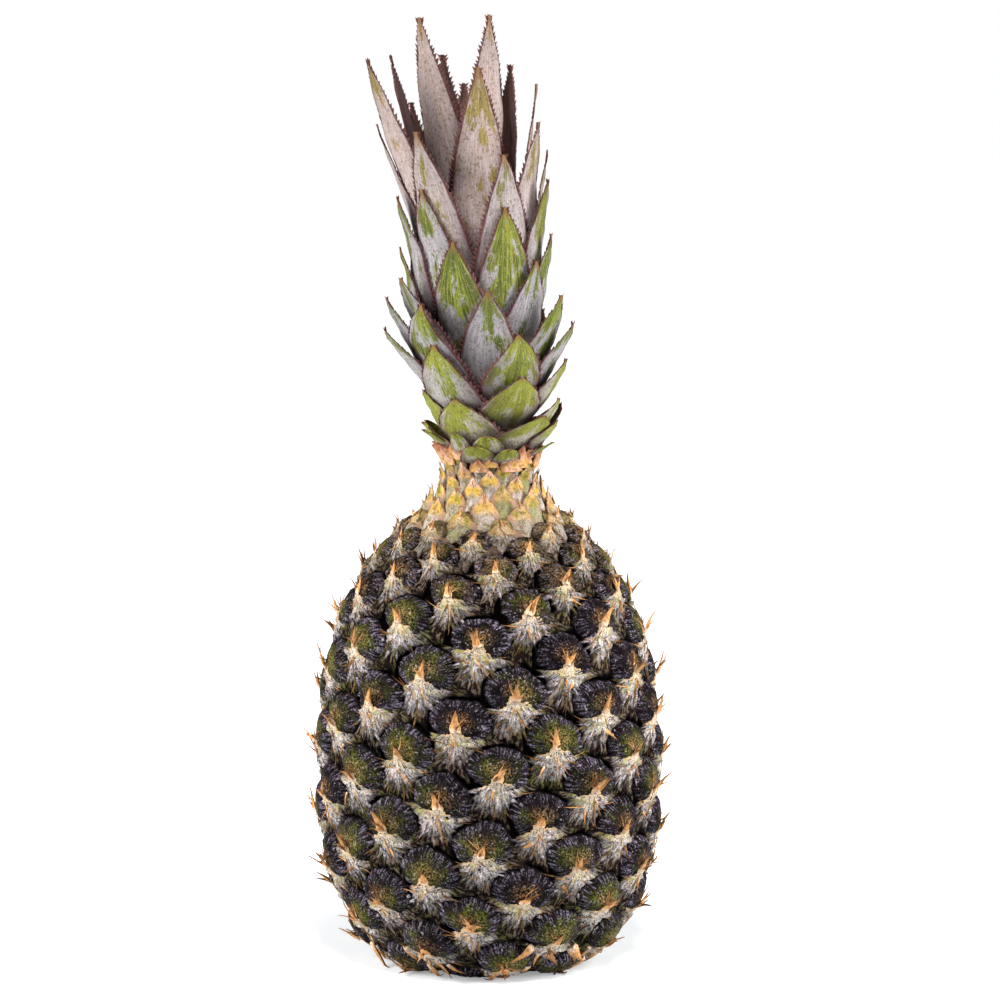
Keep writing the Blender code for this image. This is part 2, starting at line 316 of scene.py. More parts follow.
def make_fans(eyes, finish):
    """The dark ridged cushion of each eye, in one piece for each spiral row."""
    angle = np.linspace(0, TURN, FAN_ANGLES, endpoint=False)[None, None, :]
    share = (np.linspace(0, 1, FAN_RINGS) ** 0.8)[None, :, None]
    for row in range(SPIRAL_ROWS):
        chosen = np.flatnonzero((eyes.row == row) & (eyes.neck < 0.95))
        luck = eyes.luck[chosen][:, :, None, None]
        random = np.random.default_rng(FAN_SEED + row)
        rays = (len(chosen), 1, FAN_ANGLES)
        teeth = random.normal(0, FAN_TEETH, rays) * share ** 3
        uneven = 0
        for swing, waves, chance in ((0.05, 2, 1), (0.05, 3, 2), (0.022, 5, 0), (0.016, 9, 9)):
            uneven = uneven + swing * np.sin(waves * angle + TURN * luck[:, chance])
        neck = eyes.neck[chosen][:, None, None]
        edge = share * (1 + uneven + teeth) * (1 - 0.45 * neck)
        x = FAN_CENTRE[0] + FAN_SIZE[0] * edge * np.cos(angle)
        y = FAN_CENTRE[1] + FAN_SIZE[1] * edge * np.sin(angle)
        crease = bump(angle_from(angle, 2.5 + 0.3 * luck[:, 4]), 0.16)
        crease = crease + bump(angle_from(angle, 0.6), 0.16)
        ridge = random.normal(0, FAN_RIDGES, rays) * step(0.35, 0.8, share)
        rough = random.normal(0, FINE_ROUGHNESS, x.shape) * step(0.1, 0.5, share)
        h = fan_height(share) + FAN_TOP * (1 - share ** 2.2) * 0.3 * (luck[:, 3] - 0.5)
        h = h - 0.020 * crease * share * (1 - share ** 4) + ridge * (1 - share ** 9) + rough
        h = h * (1 - 0.75 * neck) - 0.05 * neck
        tx, ty = tilted(x, y, EYE_TILT + 0.16 * (luck[:, 5] - 0.5))
        points = eyes.wrap(chosen, tx, ty, h)
        attributes = {
            "eye": np.stack([x, y, share + 0 * x], -1),
            "luck": colour_luck(eyes, chosen, x),
            "zone": np.stack([neck + 0 * x, h, spread(eyes.height[chosen], x)], -1),
        }
        mesh = sheets_mesh(f"eye_fans_{row + 1}", points, True, attributes)
        add_piece(f"eye_fans_{row + 1}", mesh, finish)


SKIRT_ANGLES = 80
SKIRT_RINGS = 11
SCALE_ANGLES = 40
SCALE_RINGS = 8
SKIRT_HUB = -0.23
SKIRT_REACH = 0.78
UNDER_EDGE = 0.985  # where a bract's folded edge runs, as a share of its reach
EDGE_THICKNESS = 0.030
KEEL_WIDTH = 0.16
OUT_OF_REACH = 9.0
LEAST_ROOM = 0.12
LEFT_WING = math.radians(163)
RIGHT_WING = math.radians(-8)
LOWER_POINT = math.radians(-94)


def room_beside(eyes, chosen, angle):
    """How far it is from each chosen bract's hub to its neighbours' fans, at every angle."""
    width = eyes.width[chosen][:, None]
    apart = angle_from(eyes.turn[None, :], eyes.turn[chosen][:, None])
    size = eyes.width[None, :] / width
    long_side, short_side = (FAN_SEEN * half * size[:, :, None] for half in FAN_SIZE)
    x = apart * eyes.radius[chosen][:, None] / width + FAN_CENTRE[0] * size
    y = (eyes.at[None, :] - eyes.at[chosen][:, None]) / width + FAN_CENTRE[1] * size - SKIRT_HUB
    x = x[:, :, None] / long_side
    y = y[:, :, None] / short_side
    run, rise = np.cos(angle) / long_side, np.sin(angle) / short_side
    steep = run ** 2 + rise ** 2
    toward = x * run + y * rise
    inside = toward ** 2 - steep * (x ** 2 + y ** 2 - 1)
    meets = (inside > 0) & (toward > 0)
    far = np.where(meets, (toward - np.sqrt(np.maximum(inside, 0))) / steep, OUT_OF_REACH)
    far[np.arange(len(chosen)), chosen] = OUT_OF_REACH
    return np.clip(far.min(1), LEAST_ROOM, OUT_OF_REACH)[:, None, :]


def skirt_edge(eyes, chosen, angle, neck, luck):
    """How far a bract reaches from its hub: up to its nose, and out between the fans."""
    longest = SKIRT_REACH + 0.10 * luck[:, 3]
    room = np.minimum(room_beside(eyes, chosen, angle), longest)
    from_top = np.abs(angle_from(angle, UPWARD + 0.5 * (luck[:, 0] - 0.5)))
    nose = 0.17 + 0.09 * bump(from_top, 0.35) + 0.07 * step(0.7, 1.2, from_top)
    on_fruit = nose + (room - nose) * step(1.10, 1.45, from_top + 0.15 * (luck[:, 1] - 0.5))
    from_point = np.abs(angle_from(angle, UPWARD + 0.3 * (luck[:, 2] - 0.5)))
    tip = (0.12 + 0.30 * luck[:, 3]) * bump(from_point, 0.17) + 0.12 * bump(from_point, 0.7)
    on_neck = 0.66 - 0.10 * np.sin(angle) + tip
    ragged = 1 + 0.06 * np.sin(17 * angle + 20 * luck[:, 4])
    ragged = ragged + 0.04 * np.sin(29 * angle + 30 * luck[:, 5])
    edge = (1 - neck) * on_fruit + neck * on_neck
    return edge * (1 + (ragged - 1) * (1 - 0.7 * neck))


def make_bracts(eyes, finish):
    """The powdery bracts of the eyes, and the scales that they become on the neck."""
    for row in range(SPIRAL_ROWS):
        chosen = np.flatnonzero((eyes.row == row) & (eyes.neck < 0.5))
        name = f"eye_bracts_{row + 1}"
        add_bracts(name, eyes, chosen, SKIRT_ANGLES, SKIRT_RINGS, BRACT_SEED + row, finish)
    scales = np.flatnonzero(eyes.neck >= 0.5)
    add_bracts("neck_scales", eyes, scales, SCALE_ANGLES, SCALE_RINGS, SCALE_SEED, finish)


def add_bracts(name, eyes, chosen, angles, rings, seed, finish):
    """One piece of bracts or scales, each with its edge folded under to give it thickness."""
    angle = np.linspace(0, TURN, angles, endpoint=False)[None, None, :]
    share = np.concatenate([np.linspace(0, 1, rings), [UNDER_EDGE]])[None, :, None]
    under = np.concatenate([np.zeros(rings), [1.0]])[None, :, None]
    luck = eyes.luck[chosen][:, :, None, None]
    neck = eyes.neck[chosen][:, None, None]
    reach = skirt_edge(eyes, chosen, angle, neck, luck) * share
    x, y = reach * np.cos(angle), reach * np.sin(angle) + SKIRT_HUB
    on_fruit = bract_height(x, y, angle, reach, share, luck)
    on_neck = scale_height(x, y, share, luck)
    rough = np.random.default_rng(seed).normal(0, FINE_ROUGHNESS, x.shape) * share
    h = (1 - neck) * on_fruit + neck * on_neck - EDGE_THICKNESS * under + rough
    points = eyes.wrap(chosen, x, y, h)
    attributes = {
        "eye": np.stack([x, y, share + 0 * x], -1),
        "luck": colour_luck(eyes, chosen, x),
        "zone": np.stack([neck + 0 * x, reach, spread(eyes.height[chosen], x)], -1),
    }
    add_piece(name, sheets_mesh(name, points, True, attributes), finish)


def bract_height(x, y, angle, reach, share, luck):
    """A bract's relief: over its own fan at the nose, and keeled along its wings and point."""
    over_fan = fan_height(fan_share(*tilted(x, y, -EYE_TILT))) + 0.022
    cone = 0.15 * (1 - np.hypot(1.15 * x, y) / 0.46)
    keel = 0
    for heading in (LOWER_POINT + 0.3 * (luck[:, 0] - 0.5), LEFT_WING, RIGHT_WING):
        keel = keel + bump(angle_from(angle, heading), KEEL_WIDTH)
    keel = keel * np.minimum(1, reach / 0.2) * (1 - share ** 3)
    open_ground = np.maximum(cone, -0.035) + 0.080 * keel
    near = step(0.38, 0.20, reach)
    h = near * np.maximum(over_fan, open_ground) + (1 - near) * open_ground
    ribs = 0.011 * np.sin(27 * angle + 9 * luck[:, 5] + 2 * np.sin(5 * angle))
    ribs = ribs * step(0.04, 0.2, reach)
    edge_drop = step(1.0, 1.5, np.abs(angle_from(angle, UPWARD)))
    return h + ribs * (1 - share ** 5) - 0.05 * share ** 6 * edge_drop


def scale_height(x, y, share, luck):
    """A neck scale's relief: tucked in below, keeled, and standing off at its tip."""
    up = y - SKIRT_HUB
    slope = 0.25 * up - 0.04 - 0.42 * x ** 2 + 0.08 * bump(x, 0.10) * (1 - share ** 4)
    return slope + (0.04 + 0.16 * luck[:, 6]) * step(0.5, 1.0, up)


# ---------------------------------------------------------------- dry tips and threads

RIBBON_STEPS = 8
BASE_BRACTS = 5
BASE_HEIGHT = 0.02
FRINGE_COUNT = 11
FRINGE_SWEEP = 1.75


class Ribbons:
    """Narrow dry flakes, each on one eye: a path in the eye's frame and a width along it."""

    def __init__(self, seed):
        self.random = np.random.default_rng(seed)
        self.eye, self.paths, self.widths, self.tones = [], [], [], []

    def add(self, eye, start, heading, lift, length, half_width, bend, curl, tone):
        """A flake that leaves start along heading, rises at lift, and turns by bend and curl."""
        t = np.linspace(0, 1, RIBBON_STEPS)
        headings = heading + bend * t
        lifts = lift + curl * t
        forward = np.cos(lifts) * length / (RIBBON_STEPS - 1)
        rise = np.sin(lifts) * length / (RIBBON_STEPS - 1)
        strides = np.stack([forward * np.cos(headings), forward * np.sin(headings), rise], -1)
        walked = np.concatenate([np.zeros((1, 3)), np.cumsum(strides[:-1], 0)])
        path = np.array(start) + walked
        self.eye.append(eye)
        self.paths.append(np.concatenate([path, headings[:, None]], -1))
        taper = (1 - t ** 1.6) * (0.75 + 0.25 * np.sin(math.pi * np.minimum(1, t * 2.2)))
        self.widths.append(half_width * taper)
        self.tones.append(tone)

    def build(self, name, eyes, finish):
        """Makes one piece of all the flakes, each a thin closed shell with a keel."""
        owner = np.array(self.eye)
        path_x, path_y, path_h, heading = np.moveaxis(np.array(self.paths)[..., None], 2, 0)
        width = np.array(self.widths)[:, :, None]
        across = np.array([-1.0, 0.0, 1.0])[None, None, :]
        keel = 0.55 * (1 - np.abs(across) ** 1.5)
        x = path_x - np.sin(heading) * width * across
        y = path_y + np.cos(heading) * width * across
        front = path_h + width * keel
        back = front - 0.012 - 0.25 * width * (1 - np.abs(across))
        x = np.concatenate([x, x[:, :, ::-1]], 2)
        y = np.concatenate([y, y[:, :, ::-1]], 2)
        h = np.concatenate([front, back[:, :, ::-1]], 2)
        points = eyes.wrap(owner, x, y, h)
        along = np.linspace(0, 1, RIBBON_STEPS)[None, :, None] + 0 * x
        side = np.concatenate([across, across[:, :, ::-1]], 2) + 0 * x
        tone = spread(np.array(self.tones), x)
        attributes = {"flake": np.stack([along, side, tone], -1)}
        add_piece(name, sheets_mesh(name, points, True, attributes, flip=True), finish)


def make_dry_parts(eyes, finish):
    """The dry tip of every bract, its torn edges, and what is left of the flowers."""
    for row in range(SPIRAL_ROWS):
        flakes = Ribbons(TIP_SEED + row)
        for eye in np.flatnonzero(eyes.row == row):
            if eyes.neck[eye] < 0.75:
                add_tip(flakes, eye, eyes.neck[eye])
                add_flower_bits(flakes, eye)
                add_torn_edges(flakes, eye)
            else:
                add_scale_point(flakes, eye)
        flakes.build(f"dry_tips_{row + 1}", eyes, finish)


def add_tip(flakes, eye, neck):
    """The bract's own dry tip, often split, that stands up over the fan."""
    pick = flakes.random.uniform
    up = UPWARD + pick(-0.4, 0.3)
    length = pick(0.26, 0.46) * (1 + 0.2 * neck)
    flakes.add(
        eye, start=(0.0, -0.06, 0.135), heading=up, lift=pick(0.15, 0.75), length=length,
        half_width=pick(0.06, 0.10), bend=pick(-0.5, 0.5), curl=pick(-0.3, 0.9),
        tone=pick(0.45, 1.0),
    )
    for _ in range(flakes.random.integers(1, 5)):
        flakes.add(
            eye, start=(pick(-0.04, 0.04), -0.05, 0.14), heading=up + pick(-0.6, 0.6),
            lift=pick(0.1, 0.9), length=length * pick(0.5, 1.0), half_width=pick(0.020, 0.05),
            bend=pick(-0.9, 0.9), curl=pick(-0.5, 1.3), tone=pick(0.1, 0.9),
        )


def add_scale_point(flakes, eye):
    """The thin withered point of a neck scale, and a shred or two beside it."""
    pick = flakes.random.uniform
    for _ in range(flakes.random.integers(1, 4)):
        flakes.add(
            eye, start=(pick(-0.10, 0.10), pick(0.15, 0.45), 0.10),
            heading=UPWARD + pick(-0.5, 0.5), lift=pick(0.2, 0.9), length=pick(0.25, 0.5),
            half_width=pick(0.03, 0.08), bend=pick(-0.8, 0.8), curl=pick(-0.6, 1.0),
            tone=pick(0.2, 0.6),
        )


def add_flower_bits(flakes, eye):
    """Thin threads that lie on the fan round the tip, and curled shreds that stand off it."""
    pick = flakes.random.uniform
    for _ in range(flakes.random.integers(2, 6)):
        flakes.add(
            eye, start=(pick(-0.05, 0.05), pick(0.0, 0.08), 0.130),
            heading=UPWARD + pick(-1.0, 1.0), lift=pick(-0.1, 0.1), length=pick(0.12, 0.30),
            half_width=pick(0.006, 0.014), bend=pick(-0.8, 0.8), curl=pick(-0.4, 0.2),
            tone=pick(0.1, 0.9),
        )
    for _ in range(flakes.random.integers(1, 5)):
        flakes.add(
            eye, start=(pick(-0.05, 0.05), pick(0.0, 0.08), 0.12),
            heading=UPWARD + pick(-1.2, 1.2), lift=pick(0.0, 0.9), length=pick(0.1, 0.24),
            half_width=pick(0.010, 0.030), bend=pick(-1.5, 1.5), curl=pick(-0.6, 1.5),
            tone=pick(0, 0.5),
        )


def add_torn_edges(flakes, eye):
    """Dry torn strips along the bract's wings and down from its hub, and a loose shred."""
    pick = flakes.random.uniform
    for wing, side in ((LEFT_WING, -1), (RIGHT_WING, 1)):
        for _ in range(flakes.random.integers(1, 3)):
            flakes.add(
                eye, start=(0.12 * side, SKIRT_HUB - pick(0.0, 0.06), 0.05),
                heading=wing + side * pick(-0.25, 0.25), lift=-0.10, length=pick(0.25, 0.5),
                half_width=pick(0.008, 0.018), bend=pick(-0.3, 0.3), curl=pick(-0.1, 0.3),
                tone=pick(0.1, 0.8),
            )
    for _ in range(flakes.random.integers(1, 4)):
        flakes.add(
            eye, start=(pick(-0.05, 0.05), pick(-0.25, -0.08), 0.115),
            heading=LOWER_POINT + pick(-0.8, 0.8), lift=pick(-0.3, -0.15),
            length=pick(0.22, 0.45), half_width=pick(0.008, 0.020), bend=pick(-0.3, 0.3),
            curl=pick(-0.1, 0.5), tone=pick(0.1, 0.9),
        )
    if pick() < 0.5:
        flakes.add(
            eye, start=(pick(-0.3, 0.3), SKIRT_HUB - 0.1, 0.03),
            heading=LOWER_POINT + pick(-1.2, 1.2), lift=pick(0.1, 0.6),
            length=pick(0.15, 0.35), half_width=pick(0.02, 0.05), bend=pick(-0.8, 0.8),
            curl=pick(-0.4, 0.8), tone=pick(0.1, 0.8),
        )


def make_fringe(eyes, finish):
    """The frayed outer fibres of each bract, some of them over the next fans' rims."""
    for row in range(SPIRAL_ROWS):
        flakes = Ribbons(FRINGE_SEED + row)
        for eye in np.flatnonzero((eyes.row == row) & (eyes.neck < 0.5)):
            for _ in range(FRINGE_COUNT):
                add_fibre(flakes, eye)
        flakes.build(f"bract_fringe_{row + 1}", eyes, finish)


def add_fibre(flakes, eye):
    """One frayed fibre that leaves the lower part of a bract along a ray from its hub."""
    pick = flakes.random.uniform
    ray = LOWER_POINT + pick(-FRINGE_SWEEP, FRINGE_SWEEP)
    out = pick(0.16, 0.34)
    flakes.add(
        eye, start=(out * math.cos(ray), SKIRT_HUB + out * math.sin(ray), 0.085 - 0.20 * out),
        heading=ray + pick(-0.2, 0.2), lift=pick(-0.40, -0.15), length=pick(0.18, 0.36),
        half_width=pick(0.012, 0.034), bend=pick(-0.5, 0.5), curl=pick(0.1, 0.8),
        tone=pick(0.0, 1.0),
    )


def make_base_bracts(eyes, finish):
    """Dead bracts that hang round the base, under the lowest eyes."""
    flakes = Ribbons(BASE_SEED)
    pick = flakes.random.uniform
    for eye in np.flatnonzero(eyes.height < BASE_HEIGHT):
        for _ in range(BASE_BRACTS):
            down = pick(-1.1, 1.1) - UPWARD
            flakes.add(
                eye, start=(pick(-0.45, 0.45), pick(-0.5, 0.0), 0.04), heading=down,
                lift=pick(-0.1, 0.5), length=pick(0.3, 0.65), half_width=pick(0.05, 0.11),
                bend=pick(-0.6, 0.6), curl=pick(-0.6, 0.4), tone=pick(0.35, 1.0),
            )
    flakes.build("base_bracts", eyes, finish)


GROUND_DEPTH = 0.0022
GROUND_FADE = 0.008
GROUND_ROWS = 90
GROUND_ANGLES = 128
UNDERSIDE_ROWS = 12


def make_ground(meridian, finish):
    """The skin between the eyes, painted near black as the shade in the grooves, and the flat spot
    under the fruit.
    """
    underside = np.linspace(meridian.at[0], 0, UNDERSIDE_ROWS)
    at = np.concatenate([underside, np.linspace(0.001, meridian.length, GROUND_ROWS)])
    turn = np.linspace(0, TURN, GROUND_ANGLES, endpoint=False)
    lift = np.where(at > 0, -GROUND_DEPTH * np.minimum(1, at / GROUND_FADE), 0.0)
    turn, at = np.meshgrid(turn, at)
    points = meridian.place(turn, at, lift[:, None])[None]
    mesh = sheets_mesh("fruit_skin", points, True, {})
    piece = add_piece("fruit_skin", mesh, finish)
    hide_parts("fruit_body")


# ---------------------------------------------------------------- the crown

LEAF_ACROSS = 13
LEAF_ROW_LENGTH = 0.0020
LEAF_GUTTER = 0.0010
LEAF_WAVE = 0.0003
LEAF_THIN = 0.00025
LEAF_THICK = 0.0007
SPINE_SPACING = 0.0016
SPINE_SIZES = (0.0014, 0.0022)
SPINE_REACH = 1.05
SPINE_FORWARD = 1.0
SPINE_FOOT = 0.6
SPINE_RANGE = (0.05, 0.985)
EASING_SHARE = 0.6


class Leaf:
    """One leaf of the crown, where the frame has it."""

    def __init__(self, azimuth, tip, reach, half_width):
        self.azimuth = math.radians(azimuth)
        self.half_width = half_width * MM
        self.tip = tip * MM
        steps_up = math.floor(LEAF_FOOT_RISE * max(0.0, self.tip - FIRST_TIP) / LEVEL_STEP)
        self.foot = LEAF_FOOT + LEVEL_STEP * steps_up
        levels = self.foot + LEVEL_STEP * np.arange(1, MOST_LEVELS)
        levels = levels[levels < self.tip - LAST_LEVEL_GAP]
        self.height = np.concatenate([[self.foot], levels, [self.tip]])
        share = (self.height - self.foot) / (self.tip - self.foot)
        at_stem = smooth_curve(STEM_PROFILE, np.array([self.foot]))[0] + LEAF_SPACING
        self.radius = at_stem + (reach * MM - at_stem) * share ** LEAF_BOW

    def radius_at(self, height):
        """The leaf's distance from the crown's axis, straight between its levels."""
        return np.interp(height, self.height, self.radius)

    def width_at(self, height):
        """Half the leaf's width: narrow at the foot, widest at a third, pointed at the tip."""
        share = np.clip((height - self.foot) / (self.tip - self.foot), 0, 1)
        opening = np.sin(np.minimum(1.0, share / LEAF_WIDEST) * math.pi / 2)
        rising = LEAF_FOOT_WIDTH + (1 - LEAF_FOOT_WIDTH) * opening
        past_taper = np.maximum(0.0, share - LEAF_TAPER_FROM) / (1 - LEAF_TAPER_FROM)
        falling = 1 - past_taper ** LEAF_TAPER
        return np.maximum(LEAST_HALF_WIDTH, self.half_width * rising * falling)

    def turn_at(self, height):
        """Half the angle that the leaf covers at a height."""
        return self.width_at(height) / self.radius_at(height)

    def smooth_radius(self, height):
        """The leaf's distance from the crown's axis, with the corners of its levels eased."""
        fine = np.linspace(self.foot, self.tip, 120)
        window = EASING_SHARE * LEVEL_STEP * np.linspace(-1, 1, 9)
        nearby = np.clip(fine[:, None] + window, self.foot, self.tip)
        return np.interp(height, fine, self.radius_at(nearby).mean(1))


def crown_axis(height):
    """How far the crown's leaning axis stands from the fruit's, along X."""
    return CROWN_LEAN * (height - NECK_TOP)


def back_leaf(number):
    """Azimuth, tip height, reach and half width of one of the leaves round the back."""
    share = number / (BACK_LEAVES - 1)
    azimuth = BACK_MIDDLE + (number * GOLDEN_SHARE % 1 - 0.5) * BACK_SPREAD
    tip = BACK_FIRST_TIP + BACK_TIP_STEP * number
    reach = BACK_REACH[0] + (BACK_REACH[1] - BACK_REACH[0]) * share
    half_width = BACK_HALF_WIDTH[0] + (BACK_HALF_WIDTH[1] - BACK_HALF_WIDTH[0]) * share
    return azimuth, tip, reach, half_width


def planned_leaves():
    """All the leaves, outermost first, each clear of the ones that it wraps."""
    rows = FRONT_LEAVES + [back_leaf(number) for number in range(BACK_LEAVES)]
    leaves = [Leaf(*row) for row in sorted(rows, key=lambda row: row[1])]
    for i in reversed(range(len(leaves))):
        for inner in leaves[i + 1:]:
            clear_of(leaves[i], inner)
    return leaves


def clear_of(outer, inner):
    """Moves the outer leaf out wherever it would touch a leaf that it wraps."""
    apart = abs(angle_from(outer.azimuth, inner.azimuth))
    for row, height in enumerate(outer.height):
        if height < inner.foot - SAME_LEVEL:
            continue
        near = height + LEVEL_STEP * np.array([-1.0, 0.0, 1.0])
        if apart < (outer.turn_at(near) + inner.turn_at(near)).max() + CLEAR_TURN:
            outer.radius[row] = max(outer.radius[row], inner.radius_at(height) + LEAF_SPACING)


def leaf_points(leaf, height, across, inward):
    """Points of a leaf: across runs -1 to 1 over its width, inward is metres toward the axis."""
    radius = leaf.smooth_radius(height)
    turn = leaf.azimuth + across * leaf.width_at(height) / radius
    radius = radius - inward
    x = crown_axis(height) + radius * np.sin(turn)
    y = -radius * np.cos(turn)
    return np.stack([x, y, height + 0 * turn], -1)


def make_leaf(name, leaf, number, finish):
    """One leaf as a closed shell with a gutter along it and spines on both its edges."""
    luck = np.random.default_rng(LEAF_SEED + number).random(3)
    rows = max(8, round((leaf.tip - leaf.foot) / LEAF_ROW_LENGTH))
    share = np.linspace(0, 1, rows + 1)[:, None]
    height = leaf.foot + (leaf.tip - leaf.foot) * share
    across = np.linspace(-1, 1, LEAF_ACROSS)[None, :]
    gutter = LEAF_GUTTER * (1 - across ** 2) * np.sin(math.pi * np.minimum(1, share + 0.15))
    wave = LEAF_WAVE * np.sin(30 * share + 6 * luck[0]) * across
    thick = LEAF_THIN + LEAF_THICK * (1 - across ** 4) * (1 - 0.6 * share)
    front = leaf_points(leaf, height, across, wave - gutter)
    back = leaf_points(leaf, height, across[:, ::-1], (wave - gutter + thick)[:, ::-1])
    shell = np.concatenate([front, back], 1).reshape(-1, 3)
    side = np.concatenate([across, across[:, ::-1]], 1) + 0 * share
    inner = np.repeat([0.0, 1.0], LEAF_ACROSS)[None, :] + 0 * side
    marks = np.stack([share + 0 * side, side, inner], -1).reshape(-1, 3)
    faces = grid_faces(rows + 1, 2 * LEAF_ACROSS, True).tolist()
    spines, spine_faces, spine_marks = leaf_spines(leaf, len(shell), number)
    points = np.concatenate([shell, spines])
    attributes = {
        "leaf": np.concatenate([marks, spine_marks]),
        "luck": np.broadcast_to(luck, points.shape),
        "size": np.broadcast_to([leaf.tip, leaf.tip - leaf.foot, leaf.half_width], points.shape),
    }
    mesh = plain_mesh(name, points, faces + spine_faces, attributes)
    return add_piece(name, mesh, finish)


def leaf_spines(leaf, first, number):
    """Small forward-pointing spines on both edges of a leaf, as thin three-sided points."""
    random = np.random.default_rng(SPINE_SEED + number)
    length = leaf.tip - leaf.foot
    count = max(2, int(length / SPINE_SPACING))
    share = np.sort(np.tile((np.arange(count) + 0.6) / count, 2))
    edge = np.tile([-1.0, 1.0], count)
    share = np.clip(share + random.uniform(-0.2, 0.2, 2 * count) / count, *SPINE_RANGE)
    size = random.uniform(*SPINE_SIZES, 2 * count) * (1 - 0.25 * share)
    height = leaf.foot + length * share
    out = edge * (1 + SPINE_REACH * size / leaf.width_at(height))
    low = leaf_points(leaf, height - SPINE_FOOT * size, edge * 0.985, 0.0001)
    high = leaf_points(leaf, height + SPINE_FOOT * size, edge * 0.985, 0.0001)
    inside = leaf_points(leaf, height, edge * 0.95, 0.0006)
    point = leaf_points(leaf, height + SPINE_FORWARD * size, out, 0.0002)
    spines = np.stack([low, high, inside, point], 1)
    corner = first + np.arange(2 * count)[:, None, None] * 4
    faces = corner + np.array([[0, 3, 1], [1, 3, 2], [2, 3, 0]])[None]
    marks = np.stack([share, edge * 1.2, 0 * share], -1)
    return spines.reshape(-1, 3), faces.reshape(-1, 3).tolist(), np.repeat(marks, 4, 0)


# Short leaves in the heart of the crown: (azimuth, tip height, reach, half width) in mm.
HEART_LEAVES = [
    (20, 286, 8.0, 6.0), (157, 291, 7.4, 5.6), (-66, 296, 6.8, 5.2), (72, 301, 6.0, 4.8),
    (-150, 306, 5.2, 4.4),
]
RUFF_FOOT = 0.1790
COLLAR_FOOT = 0.1820
RUFF_RADIUS = 0.0172
RUFF_TURN = 2.39996
RUFF_ROWS = 14
RUFF_ACROSS = 9
RUFF_LEAF_SIZE = (0.20, 0.012, 0.006)  # tip height, length and half width for the finish


def make_ruff(name, finish, seed, count, foot, rise, reach, half_width, taper):
    """A ring of small leaves where the crown stands on the neck."""
    pick = np.random.default_rng(seed).random((count, 8))[:, :, None, None]
    number = np.arange(count)[:, None, None]
    share = np.linspace(0, 1, RUFF_ROWS)[None, :, None]
    across = np.linspace(-1, 1, RUFF_ACROSS)[None, None, :]
    climb = rise * (0.5 + pick[:, 0]) * share ** (1 + 0.4 * pick[:, 1])
    height = foot - 0.002 + 0.006 * pick[:, 5] + climb
    lean = reach * (0.6 + 0.8 * pick[:, 2]) * share ** 1.3
    radius = RUFF_RADIUS + lean - 0.0012 * across ** 2 * share
    width = half_width * (0.7 + 0.6 * pick[:, 3]) * np.maximum(1 - share ** 2, 0.004) ** taper
    turn = number * RUFF_TURN + across * width / radius
    radius = radius + 0.0006 * np.sin(9 * across + 6 * share + 20 * pick[:, 4]) * share
    x, y = crown_axis(height) + radius * np.sin(turn), -radius * np.cos(turn)
    flat = 0 * x
    attributes = {
        "flake": np.stack([0.5 * share + flat, across + flat, pick[:, 6] + flat], -1),
        "leaf": np.stack([share + flat, across + flat, flat], -1),
        "luck": np.stack([pick[:, column] + flat for column in (0, 1, 7)], -1),
        "size": np.stack([measure + flat for measure in RUFF_LEAF_SIZE], -1),
    }
    points = np.stack([x, y, height + flat], -1)
    add_piece(name, sheets_mesh(name, points, False, attributes), finish)


def make_crown(finish):
    """All the leaves: the planned ones, which take the frame's places, and the smallest."""
    make_ruff(
        "neck_ruff", withered_finish(), seed=NECK_RUFF_SEED, count=34, foot=RUFF_FOOT,
        rise=0.0055, reach=0.0022, half_width=0.0036, taper=1.0,
    )
    make_ruff(
        "crown_collar", finish, seed=COLLAR_SEED, count=15, foot=COLLAR_FOOT,
        rise=0.0085, reach=0.0062, half_width=0.0062, taper=0.5,
    )
    for number, leaf in enumerate(planned_leaves(), 1):
        piece = make_leaf(f"leaf_{number:02d}", leaf, number, finish)
        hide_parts(f"crown_leaf_{number:02d}")
    for number, row in enumerate(HEART_LEAVES, 1):
        make_leaf(f"heart_leaf_{number}", Leaf(*row), HEART_SEED + number, finish)


# ---------------------------------------------------------------- materials

def srgb(red, green, blue):
    """A colour given in display values from 0 to 255, as the linear colour that nodes take."""
    share = np.array([red, green, blue]) / 255
    linear = np.where(share <= 0.04045, share / 12.92, ((share + 0.055) / 1.055) ** 2.4)
    return (*linear.tolist(), 1.0)


# The eyes' fans.
FAN_BLACK = srgb(4, 3, 4)
FAN_DUSK = srgb(26, 17, 22)
FAN_OLIVE = srgb(94, 97, 36)
FAN_TAN = srgb(134, 104, 68)
FAN_SHOULDER = srgb(124, 102, 72)
FAN_LILAC = srgb(148, 138, 160)
FAN_SPECKS = srgb(180, 172, 176)
# Painted shade: the black along each fan's rim stands in for the shaded groove round it.
FAN_RIM_PAINTED_SHADE = srgb(4, 2, 3)
FAN_NECK_DARK = srgb(104, 92, 66)
FAN_NECK_PALE = srgb(170, 146, 96)
# The bracts.
BRACT_BLACK = srgb(8, 5, 6)
BRACT_BROWN = srgb(30, 20, 20)
BRACT_FAWN = srgb(120, 106, 88)
BRACT_OLIVE = srgb(90, 92, 46)
BRACT_BLOOM = srgb(228, 218, 224)
BRACT_GREEN = srgb(158, 154, 66)
BRACT_CREAM = srgb(240, 216, 188)
BRACT_TAN = srgb(172, 122, 74)
BRACT_NOSE = srgb(206, 170, 126)
# Painted shade: the near black along a bract's rim stands in for the groove where it meets the
# fans.
BRACT_RIM_PAINTED_SHADE = srgb(6, 4, 4)
# The neck's scales.
SCALE_GREY_GREEN = srgb(134, 128, 98)
SCALE_GREY_PINK = srgb(186, 174, 172)
SCALE_YELLOW = srgb(238, 192, 66)
SCALE_HONEY = srgb(226, 178, 104)
SCALE_PINK = srgb(222, 174, 144)
SCALE_BLOOM = srgb(230, 214, 206)
SCALE_GREEN = srgb(128, 138, 50)
